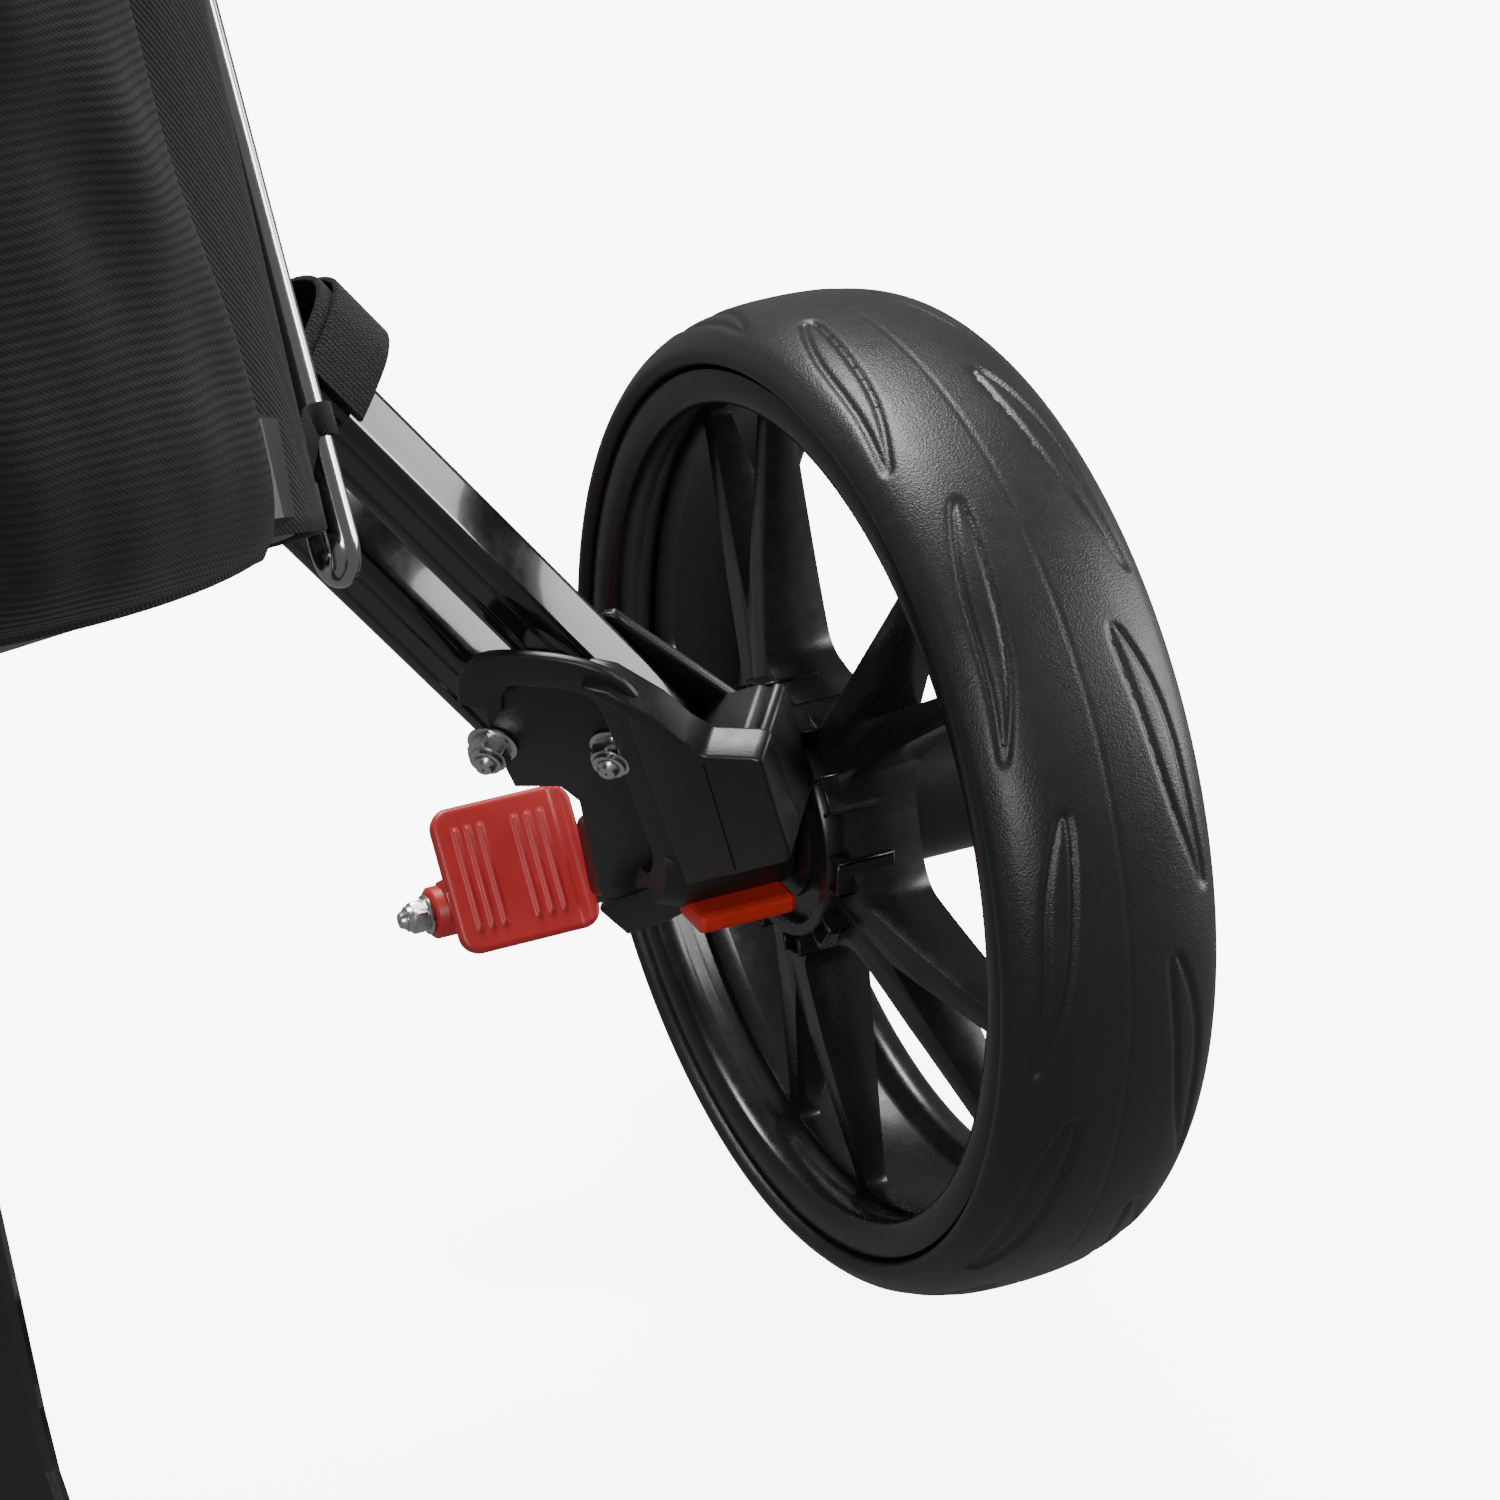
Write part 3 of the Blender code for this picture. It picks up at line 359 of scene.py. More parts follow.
def moulded(name, rgb, rough, grain=1600, depth=.00006, strength=.35, edge=.0, metal=0, var=.25, coat=0, coat_rough=.1, wave=.00012, rspread=.10, spec=.5):
    """Moulded or painted surface: fine grain, slow unevenness, patchy gloss, lighter worn edges."""
    m, nt, b = nodes_of(name)
    co = put(nt, "ShaderNodeTexCoord").outputs["Object"]
    slow = noise(nt, co, 28, 3)
    mid = noise(nt, co, 240, 3)
    fine = noise(nt, co, grain, 2, .6)
    f = remap(nt, slow, 0, 1, .3, .7)
    lo = tuple(c * (1 - var) for c in rgb)
    hi = tuple(min(1, c * (1 + var)) for c in rgb)
    col = mixcol(nt, f, lo, hi)
    if edge:
        g = put(nt, "ShaderNodeNewGeometry").outputs["Pointiness"]
        w = remap(nt, g, 0, edge, .51, .60)
        wm = math(nt, "MULTIPLY", w, remap(nt, mid, .2, 1, .4, .6))
        col = mixcol(nt, wm, col, tuple(min(1, c * 2.2 + .05) for c in rgb))
    nt.links.new(col, b.inputs["Base Color"])
    r = math(nt, "ADD", remap(nt, mid, -rspread / 2, rspread / 2), remap(nt, slow, -rspread / 2, rspread / 2))
    r = math(nt, "ADD", r, rough)
    nt.links.new(r, b.inputs["Roughness"])
    b.inputs["Metallic"].default_value = metal
    b.inputs["Specular IOR Level"].default_value = spec
    if coat:
        b.inputs["Coat Weight"].default_value = coat
        b.inputs["Coat Roughness"].default_value = coat_rough
    n1 = bump(nt, slow, .35, wave * 6)
    n2 = bump(nt, fine, strength, depth, n1)
    nt.links.new(n2, b.inputs["Normal"])
    return m


def cloth(name, rgb, kind, pitch=.0030, weave=.0009, rough=.85, sheen=.25, depth=.0005, var=.35):
    """Fabric from UV in metres: ribs, twill or plain weave with thread relief and soft unevenness."""
    m, nt, b = nodes_of(name)
    uvn = put(nt, "ShaderNodeTexCoord").outputs["UV"]
    ob = put(nt, "ShaderNodeTexCoord").outputs["Object"]
    sep = put(nt, "ShaderNodeSeparateXYZ")
    nt.links.new(uvn, sep.inputs[0])
    u, v = sep.outputs[0], sep.outputs[1]
    wob = noise(nt, uvn, 16, 2)
    wv = math(nt, "MULTIPLY", math(nt, "SUBTRACT", wob, .5), pitch * 2.0)
    slow = noise(nt, ob, 22, 3)
    fuzz = noise(nt, ob, 2600, 2)
    k = 2 * pi
    su = math(nt, "SINE", math(nt, "MULTIPLY", u, k / weave))
    sv = math(nt, "SINE", math(nt, "MULTIPLY", v, k / weave))
    thread = math(nt, "MULTIPLY", su, sv)
    if kind == "rib":
        big = math(nt, "SINE", math(nt, "MULTIPLY", math(nt, "ADD", v, wv), k / pitch))
    elif kind == "twill":
        big = math(nt, "SINE", math(nt, "MULTIPLY", math(nt, "ADD", v, math(nt, "MULTIPLY", u, .9)), k / pitch))
    else:
        br = put(nt, "ShaderNodeTexBrick")
        br.inputs["Scale"].default_value = 1
        br.inputs["Brick Width"].default_value = pitch
        br.inputs["Row Height"].default_value = pitch * .42
        br.inputs["Mortar Size"].default_value = pitch * .09
        br.inputs["Mortar Smooth"].default_value = 1
        br.inputs["Color1"].default_value = (1, 1, 1, 1)
        br.inputs["Color2"].default_value = (.8, .8, .8, 1)
        br.inputs["Mortar"].default_value = (0, 0, 0, 1)
        nt.links.new(uvn, br.inputs["Vector"])
        bw = put(nt, "ShaderNodeRGBToBW")
        nt.links.new(br.outputs["Color"], bw.inputs[0])
        big = math(nt, "SUBTRACT", math(nt, "MULTIPLY", bw.outputs[0], 2), 1)
    h = math(nt, "ADD", math(nt, "MULTIPLY", big, .8), math(nt, "MULTIPLY", thread, .3))
    h01 = math(nt, "MULTIPLY_ADD", h, .45, .5)
    f = math(nt, "MULTIPLY", h01, remap(nt, slow, .55, 1.0))
    col = mixcol(nt, f, tuple(c * (1 - var) for c in rgb), tuple(min(1, c * (1 + var)) for c in rgb))
    nt.links.new(col, b.inputs["Base Color"])
    nt.links.new(remap(nt, fuzz, rough - .06, min(1, rough + .08)), b.inputs["Roughness"])
    b.inputs["Sheen Weight"].default_value = sheen
    b.inputs["Sheen Roughness"].default_value = .45
    b.inputs["Specular IOR Level"].default_value = .3
    n1 = bump(nt, h01, .75, depth)
    n2 = bump(nt, fuzz, .25, .00012, n1)
    nt.links.new(n2, b.inputs["Normal"])
    return m


M_TYRE = moulded("tyre_foam", (.013, .013, .0135), .38, grain=1500, depth=.00020, strength=.7, var=.12, wave=.00003, rspread=.05, spec=.45)
M_RIM = moulded("rim_plastic", (.0085, .0085, .0092), .27, grain=1500, depth=.00003, strength=.22, var=.2, wave=.00004, rspread=.08)
M_BLACK = moulded("black_plastic", (.0105, .0105, .0112), .40, grain=2100, depth=.00010, strength=.45, var=.2, wave=.00003, rspread=.08)
M_SATIN = moulded("satin_plastic", (.012, .012, .013), .33, grain=1900, depth=.00005, strength=.35, var=.2, wave=.00003)
M_TUBE = moulded("painted_tube", (.007, .007, .008), .16, grain=2600, depth=.00002, strength=.15, var=.2, wave=.00003, rspread=.06, coat=.7, coat_rough=.05)
M_STEEL = moulded("zinc_steel", (.60, .60, .61), .26, grain=900, depth=.00005, strength=.3, metal=1, var=.12, wave=.00002)
M_CHROME = moulded("bright_rod", (.42, .42, .44), .16, grain=600, depth=.00001, strength=.1, metal=1, var=.06, wave=.00002, rspread=.05)
M_NYLON = moulded("nut_insert", (.55, .56, .58), .5, grain=2000, depth=.00004, var=.08)
M_RED = moulded("red_plastic", (.45, .026, .028), .40, grain=2200, depth=.00009, strength=.45, var=.10, wave=.00002, rspread=.08)
M_ORANGE = moulded("latch_red", (.56, .030, .018), .33, grain=2000, depth=.00005, strength=.3, var=.08, wave=.00002)
M_RIB = cloth("bag_ribbed", (.0085, .0085, .0092), "rib", pitch=.0022, weave=.0011, depth=.0007, sheen=.05)
M_TWILL = cloth("bag_twill", (.0080, .0080, .0085), "twill", pitch=.0021, weave=.0010, depth=.0004, sheen=.05)
M_WEB = cloth("webbing_weave", (.0115, .0115, .0120), "brick", pitch=.0034, weave=.0011, depth=.0009, sheen=.10)
M_BIND = cloth("binding_tape", (.0085, .0085, .009), "twill", pitch=.0012, weave=.0008, depth=.0003, sheen=.08)
M_GRIP = moulded("grip_foam", (.016, .016, .017), .72, grain=900, depth=.00035, strength=.7, var=.15, wave=.00006)

SLOT_MAT = {"tyre_foam": M_TYRE, "rim_plastic": M_RIM, "black_plastic": M_BLACK, "painted_tube": M_TUBE, "zinc_steel": M_STEEL,
            "bright_rod": M_CHROME, "red_plastic": M_RED, "bag_fabric": M_TWILL, "webbing": M_WEB, "grip_foam": M_GRIP}
for sp_ in frame["record"]["subparts"]:
    o_ = N[sp_["node"]]
    for i_ in range(len(o_.material_slots)):
        o_.material_slots[i_].material = SLOT_MAT[sp_["material_slot"]]
    if not len(o_.material_slots):
        o_.data.materials.append(SLOT_MAT[sp_["material_slot"]])


def paint(o, mat):
    o.data.materials.clear()
    o.data.materials.append(mat)
    return o


def done(o, mat, body, slot, *nodes):
    paint(o, mat)
    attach(o, body)
    if nodes:
        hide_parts(*nodes)
    return o


# ------------------------------------------------------------ tyres
def leaf_depth(th, x, row, start, period, span, xa, xb, wid):
    """Groove depth of a ring of leaf outlines; th in degrees, x across."""
    t = ((th - start) % period) / span
    inside = t <= 1
    tt = np.clip(t, 0, 1)
    s = tt * tt * (3 - 2 * tt)
    xc = xa + (xb - xa) * (.22 * tt + .78 * s) + row * .0016 * np.sin(2 * pi * tt)
    w = wid * np.sin(pi * np.clip(tt, 0, 1) ** .8) ** .75 * (1 - .25 * tt)
    d = np.abs(np.abs(x - xc) - w)
    end = smoothstep(0, .035, tt) * (1 - smoothstep(.965, 1, tt))
    g = np.exp(-(d / .00105) ** 2) * inside * (.25 + .75 * end)
    inner = (np.abs(x - xc) < w) * inside
    return g * .00105 + inner * .00022 * smoothstep(0, .002, w - np.abs(x - xc))


def tyre(name, wc, sx, prof, seat, n, m, leaves):
    """High-resolution tyre: crowned tread, parting line, rounded shoulders, bead."""
    half = spline(prof, 300)
    full = np.concatenate([half[::-1] * vec(1, -1), half[1:]])
    d = np.concatenate([[0], np.cumsum(np.linalg.norm(np.diff(full, axis=0), axis=1))])
    u = np.linspace(0, d[-1], m)
    pr = np.stack([np.interp(u, d, full[:, 0]), np.interp(u, d, full[:, 1])], 1)
    tang = np.gradient(pr, axis=0)
    tang /= np.linalg.norm(tang, axis=1)[:, None]
    nrm = np.stack([tang[:, 1], -tang[:, 0]], 1)
    nrm *= np.sign(nrm[:, :1] * 1 + (nrm[:, :1] == 0)) if False else 1
    if nrm[m // 2, 0] < 0:
        nrm = -nrm
    th = np.degrees(np.arange(n) * 2 * pi / n)
    TH, XX = np.meshgrid(th, pr[:, 1], indexing="ij")
    dep = np.zeros_like(TH)
    dep += .00032 * np.exp(-(XX / .00045) ** 2)
    for k in leaves:
        dep += leaf_depth(TH, XX, *k)
    rr = pr[None, :, 0] - nrm[None, :, 0] * dep
    xx = pr[None, :, 1] - nrm[None, :, 1] * dep
    seat_p = [(seat, pr[-1, 1] - .0006), (seat, pr[0, 1] + .0006)]
    rr = np.concatenate([rr, np.full((n, 1), seat), np.full((n, 1), seat)], 1)
    xx = np.concatenate([xx, np.full((n, 1), seat_p[0][1]), np.full((n, 1), seat_p[1][1])], 1)
    a = np.radians(th)[:, None]
    v = np.stack([wc[0] + sx * xx, wc[1] + rr * np.cos(a), wc[2] + rr * np.sin(a)], -1).reshape(-1, 3)
    return obj_of(name, v, grid_faces(n, m + 2, True, True), sharp=50)


TPROF = [(.1450, 0), (.14485, .006), (.1445, .011), (.1437, .0168), (.1421, .0225), (.1396, .0274), (.1366, .0308), (.1345, .0324), (.1328, .0327), (.1314, .0321), (.1306, .0308)]
LEAVES = [(-1, 82, 36, 30.5, -.0140, -.0262, .0042), (1, 100, 36, 30.5, .0140, .0262, .0042)]
nth, nm = ((1080, 110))
done(tyre("rear_tyre_l_look", WC, 1, TPROF, .1304, nth, nm, LEAVES), M_TYRE, "rear_wheel_l", "tyre_foam", "rear_tyre_l")
done(tyre("rear_tyre_r_look", WC * vec(-1, 1, 1), -1, TPROF, .1304, nth, nm, LEAVES), M_TYRE, "rear_wheel_r", "tyre_foam", "rear_tyre_r")
FPROF = [(.1200, 0), (.11985, .005), (.1194, .010), (.1184, .0155), (.1166, .0203), (.1140, .0236), (.1112, .0251), (.1086, .0251), (.1066, .0243), (.1056, .0232)]
done(tyre("front_tyre_look", FW, 1, FPROF, .1054, 760, 86,
          [(-1, 0, 45, 38, -.0105, -.0190, .0034), (1, 22.5, 45, 38, .0105, .0190, .0034)]), M_TYRE, "front_wheel", "tyre_foam", "front_tyre")


# ------------------------------------------------------------ rims
def rim(name, wc, inn, r_seat, r_lip, r_bar, hw, spokes, a_out, a_hub, fall, x0, trunk, spread, bw, apex, drum, hub_r, hub_in, hub_out, hub_bore, n=200):
    sx = inn
    IN = vec(sx, 0, 0)
    lip = [(r_seat - .0002, -hw + .002), (r_seat - .0002, hw - .002), (r_seat - .0010, hw + .0004), (r_seat - .0030, hw + .0012), (r_lip + .0035, hw + .0012), (r_lip + .0012, hw + .0004),
           (r_lip, hw - .0014), (r_lip, hw - .0062), (r_lip + .0008, hw - .0080), (r_bar - .0010, hw - .0110), (r_bar, hw - .0130)]
    prof = lip + [(r, -h) for r, h in lip[::-1][:-2]]
    barrel = revolve(name + "_b", prof, wc, IN, (0, 0, 1), n)
    barrel.data.set_sharp_from_angle(angle=radians(50))
    a_in = lambda r: a_hub - fall * (r - x0)
    rb = r_bar + .0006
    plate = revolve(name + "_p", [(hub_r - .003, a_out), (rb, a_out), (rb, a_in(rb)), (.5 * (rb + hub_r), a_in(.5 * (rb + hub_r))), (hub_r - .003, a_in(hub_r + .004))], wc, IN, (0, 0, 1), 160)
    # plane frame: x along +Y, y along +Z, heights along +X
    fm = frame_m(wc, (0, 1, 0), (0, 0, 1), (1, 0, 0))
    cuts = []
    h0, h1 = sorted((sx * (a_out - .02), sx * (a_hub + .03)))
    step = 360 / len(spokes)
    rmax = r_bar - .0012
    for deg in spokes:
        # between two spokes
        mid = radians(deg + step / 2)
        pts = []
        rr = np.linspace(trunk * .86, rmax, 9)
        k0, k1 = bw * 1.05 + .0035, sin(radians(spread)) * rmax + bw * .5
        for r in rr:
            hwid = k0 + (k1 - k0) * max(0, (r - trunk * .86) / (rmax - trunk * .86)) ** 1.15
            pts.append((r, radians(step / 2) - np.arcsin(min(.9, hwid / r))))
        up = [(r * cos(q), r * sin(q)) for r, q in pts]
        inner_r = (drum[0] if drum else hub_r) + .0030
        q_in = pts[0][1] * .45
        cap = [(inner_r * cos(q_in) * 1.01, inner_r * sin(q_in) * 1.0), (inner_r, 0)]
        arc = [(rmax * cos(q), rmax * sin(q)) for q in np.linspace(pts[-1][1], -pts[-1][1], 9)[1:-1]]
        loop = [cap[0]] + up + arc + [(x, -y) for x, y in up[::-1]] + [(cap[0][0], -cap[0][1]), cap[1]]
        loop = chaikin(loop, 2)
        c, s = cos(mid), sin(mid)
        cuts.append(prism("c", [(x * c - y * s, x * s + y * c) for x, y in loop], h0, h1, fm))
        # inside the fork of one spoke
        q1 = radians(spread) - bw * .5 / rmax
        side = [(apex + (rmax * cos(q1) - apex) * t, (rmax * sin(q1)) * t) for t in (.06, .3, .6, .9, 1)]
        arc = [(rmax * cos(q), rmax * sin(q)) for q in np.linspace(q1, -q1, 7)[1:-1]]
        loop = [(apex, 0)] + side + arc + [(x, -y) for x, y in side[::-1]]
        loop = chaikin(loop, 2)
        c, s = cos(radians(deg)), sin(radians(deg))
        cuts.append(prism("c", [(x * c - y * s, x * s + y * c) for x, y in loop], h0, h1, fm))
    plate = boolean(plate, join("cut", *cuts))
    bevel(plate, .0014, 2, 50, None)
    dg = bpy.context.evaluated_depsgraph_get()
    me = bpy.data.meshes.new_from_object(plate.evaluated_get(dg))
    plate.modifiers.clear()
    plate.data = me
    parts = [barrel, plate]
    if drum:
        rd, d0, d1, lugs = drum
        pr = [(rd - .0015, d0), (rd, d0 + .0012), (rd, d1 - .0062), (rd - .0008, d1 - .0054), (rd - .0008, d1 - .0010), (rd - .0016, d1), (rd - .0046, d1), (rd - .0052, d1 - .0008), (rd - .0056, d1 - .0100),
              (hub_r + .0030, d1 - .0105), (hub_r + .0012, d1 - .0006), (hub_r, d1 + .0001), (hub_bore + .0006, d1 + .0001), (hub_bore, d1 - .0006), (hub_bore, d0)]
        dr = revolve("d", pr, wc, IN, (0, 0, 1), 120)
        dr.data.set_sharp_from_angle(angle=radians(40))
        parts.append(dr)
        lg = []
        for i in range(lugs):
            a = radians(360 / lugs * i)
            c, s = cos(a), sin(a)
            for lo, hi, ra, rb_ in ((-.0056, .0056, rd + .0034, rd + .0046), (-.0056, -.0042, rd - .001, rd + .0046), (.0042, .0056, rd - .001, rd + .0046)):
                pl = [(ra, lo), (rb_, lo), (rb_, hi), (ra, hi)]
                ha, hb = sorted((sx * (d0 + .010), sx * (d1 - .0002)))
                q = prism("l", [(x * c - y * s, x * s + y * c) for x, y in pl], ha, hb, fm)
                lg.append(bevel(q, .0004, 1, 30, None))
            pl = [(rd - .001, -.0050), (rd + .0040, -.0050), (rd + .0040, .0050), (rd - .001, .0050)]
            ha, hb = sorted((sx * (d0 + .010), sx * (d0 + .0125)))
            lg.append(prism("l", [(x * c - y * s, x * s + y * c) for x, y in pl], ha, hb, fm))
            # radial web inside the drum
            a2 = a + radians(180 / lugs)
            c2, s2 = cos(a2), sin(a2)
            pl = [(hub_r - .002, -.0008), (rd - .004, -.0008), (rd - .004, .0008), (hub_r - .002, .0008)]
            ha, hb = sorted((sx * (d1 - .012), sx * (d1 - .0030)))
            lg.append(prism("l", [(x * c2 - y * s2, x * s2 + y * c2) for x, y in pl], ha, hb, fm))
        parts += lg
        back = revolve("h", [(hub_bore, hub_out), (hub_r - .001, hub_out), (hub_r, hub_out + .001), (hub_r, d0 + .004), (hub_bore, d0 + .004)], wc, IN, (0, 0, 1), 96)
        back.data.set_sharp_from_angle(angle=radians(40))
        parts.append(back)
    else:
        hb_ = revolve("h", [(hub_bore, hub_out), (hub_r - .001, hub_out), (hub_r, hub_out + .001), (hub_r, hub_in - .001), (hub_r - .001, hub_in), (hub_bore, hub_in)], wc, IN, (0, 0, 1), 96)
        hb_.data.set_sharp_from_angle(angle=radians(40))
        parts.append(hb_)
    for p in parts:
        if p.modifiers:
            dg = bpy.context.evaluated_depsgraph_get()
            me = bpy.data.meshes.new_from_object(p.evaluated_get(dg))
            p.modifiers.clear()
            p.data = me
    o = join(name, *parts)
    o.data.set_sharp_from_angle(angle=radians(42))
    return o


for s_, sg in (("l", 1), ("r", -1)):
    done(rim("rear_rim_" + s_ + "_look", WC * vec(sg, 1, 1), -sg, .1300, .1188, .1225, .0296, SPOKES, .0065, .0322, .205, .0260, .0520, 10.5, .0055, .0590,
             (.0355, .0055, .0338, 10), .0215, .0338, -.029, .0064), M_RIM, "rear_wheel_" + s_, "rim_plastic", "rear_rim_" + s_)
done(rim("front_rim_look", FW, 1, .1050, .0960, .0980, .0220, (90, 162, 234, 306, 18), -.008, .008, 0, .02, .040, 13, .0055, .0460, None, .0170, .0335, -.0335, .0054),
     M_RIM, "front_wheel", "rim_plastic", "front_rim")


# ------------------------------------------------------------ fasteners
def nut(name, p, ax, r_hex, h, r_hole, washer):
    """Washer, chamfered hex nut, nylon insert and thread end."""
    ax = unit(ax)
    ref = unit(np.cross(ax, (0.1, 0.2, 1)))
    third = np.cross(ax, ref)
    parts = []
    if washer:
        parts.append(revolve("w", [(r_hole, .0001), (washer - .0004, .0001), (washer, .0003), (washer, .0008), (washer - .0004, .0010), (r_hole, .0010)], p, ax, ref, 48, True, 40))
    z0 = .0011
    vs, f = [], []
    prof = [(r_hole, 0, 1), (.90, 0, 0), (1.0, .0007, 0), (1.0, h - .0010, 0), (.90, h - .0002, 0), (r_hole, h, 1)]
    n = 48
    for i in range(n):
        a = 2 * pi * i / n
        hexr = r_hex * cos(pi / 6) / cos(((a + pi / 6) % (pi / 3)) - pi / 6)
        for r, z, k in prof:
            rr = r if k else (hexr if r == 1.0 else min(hexr, r_hex * .90))
            vs.append(p + ax * (z0 + z) + (ref * cos(a) + third * sin(a)) * rr)
    body = obj_of("n", vs, grid_faces(n, len(prof), True, True), sharp=25)
    parts.append(body)
    parts.append(revolve("y", [(r_hole, z0 + h - .0004), (r_hex * .78, z0 + h - .0004), (r_hex * .74, z0 + h + .0012), (r_hex * .62, z0 + h + .0016), (r_hole, z0 + h + .0014)], p, ax, ref, 40, True, 40))
    th = [(.0004, z0 - .001)]
    rt = r_hole + .0001
    for i in range(10):
        z = z0 - .0005 + i * (h + .0032) / 10
        th += [(rt, z), (rt - .00035, z + (h + .0032) / 20)]
    th += [(rt - .0008, z0 + h + .0034), (.0004, z0 + h + .0036)]
    parts.append(revolve("t", th, p, ax, ref, 28, True, 30))
    return join(name, *parts)


def shank(p, ax, h0, h1, r, head):
    ax = unit(ax)
    ref = unit(np.cross(ax, (0.1, 0.2, 1)))
    hr, hh = head
    return revolve("s", [(.0002, h0 - hh), (hr * .55, h0 - hh), (hr * .88, h0 - hh * .72), (hr, h0 - hh * .30), (hr, h0 - .0004), (r, h0 - .0004), (r, h1), (.0002, h1)], p, ax, ref, 36, True, 40)


for s_, sg in (("l", 1), ("r", -1)):
    mir = vec(sg, 1, 1)
    t = T * mir
    for nm, p in (("upper", PUK), ("lower", PLK)):
        q = p * mir
        o = join("b", shank(q, t, -.0150, .0155, .0030, (.0060, .0042)), nut("n", q + t * .0150, t, .0062, .0050, .0030, .0072))
        o.name = "knuckle_nut_%s_%s" % (nm, s_)
        done(o, M_STEEL, "knuckle_" + s_, "zinc_steel", "knuckle_bolt_%s_%s" % (nm, s_))
    for nm, p in (("upper", PUH), ("lower", PLH)):
        q = p * mir
        o = join("b", shank(q, t, -.0138, .0143, .0030, (.0060, .0042)), nut("n", q + t * .0138, t, .0060, .0042, .0030, None))
        o.name = "hub_nut_%s_%s" % (nm, s_)
        done(o, M_STEEL, "frame_and_bag", "zinc_steel", "hub_bolt_%s_%s" % (nm, s_))
BR = vec(.2690, .0766, .0930) + OY
o = join("b", shank(BR + vec(.0100, 0, 0), (-1, 0, 0), 0, .0580, .0030, (.0060, .0042)), nut("n", BR + vec(.0100 - .0575, 0, 0), (-1, 0, 0), .0052, .0046, .0030, .0060))
o.name = "brake_nut"
done(o, M_STEEL, "knuckle_l", "zinc_steel", "brake_bolt")
o = join("b", shank(HP, (1, 0, 0), -.0190, .0195, .0040, (.0075, .0050)), nut("n", HP + X * .0190, X, .0078, .0050, .0040, None))
o.name = "handle_nut"
done(o, M_STEEL, "frame_and_bag", "zinc_steel", "handle_bolt")

# moulded nodes keep their shape and get rounded edges
for n_, w_, seg_ in (("leg_hub", .0012, 2), ("front_fork", .0012, 2), ("lower_bracket", .0010, 2), ("upper_bracket", .0010, 2),
                     ("clamp_housing", .0010, 2), ("handle_fork", .0010, 2), ("console_tray", .0009, 2), ("console_lid", .0009, 2), ("cup_holder", .0008, 2), ("clamp_lever", .0010, 2),
                     ("release_latch_l", .0004, 2), ("release_latch_r", .0004, 2), ("rear_cap_l", .0008, 2), ("rear_cap_r", .0008, 2)):
    bevel(N[n_], w_, seg_, 34, None)
for s_ in "lr":
    paint(N["release_latch_" + s_], M_ORANGE)

# ------------------------------------------------------------ knuckle details
def pk(l, m, t, sg=1):
    """A point in the knuckle's own frame: along the leg, across the pair, along the pivots."""
    p = PUK + L * l + Mv * m + T * t
    return p * vec(sg, 1, 1)


def rail(name, pts, r, closed=False, up=None, n=10):
    return sweep(name, pts, circle(r, n), T if up is None else up, closed=closed)


FACE = [(.0326, -.0162), (.0276, -.0225), (.0132, -.0279), (.0029, -.0290), (-.0042, -.0312), (-.0097, -.0439), (-.0118, -.0461), (-.0347, -.0347), (-.0467, -.0293), (-.0510, -.0253), (-.0497, .0117), (-.0347, .0041), (.0171, -.0207)]
LIP = [(.0327, .0207), (.0383, .0163), (.0423, .0102), (.0430, .0048), (.0386, -.0061), (.0326, -.0149), (.0252, -.0193), (.0140, -.0170), (-.0113, -.0051), (-.0381, .0080), (-.0475, .0122), (-.0544, .0200), (-.0577, .0305), (-.0590, .0467)]
FLOOR = [ (0.0318, 0.0236), (0.0360, 0.0130), (0.0266, -0.0078), (0.0188, -0.0119), (0.0071, -0.0093), (-0.0174, 0.0018), (-0.0476, 0.0180), (-0.0593, 0.0259), (-0.0620, 0.0379), (-0.0636, 0.0536), (-0.0515, 0.0487), (-0.0160, 0.0270), (-0.0089, 0.0283), (-0.0043, 0.0414), (0.0126, 0.0351) ]
REAR = [(.0060, .0266), (.0208, .0002), (.0225, -.0035), (.0221, -.0072), (.0157, -.0086), (-.0035, -.0140), (-.0211, -.0183), (-.0279, -.0180), (-.0389, -.0109), (-.0473, -.0058), (-.0467, -.0026), (-.0394, .0098), (-.0125, .0117)]
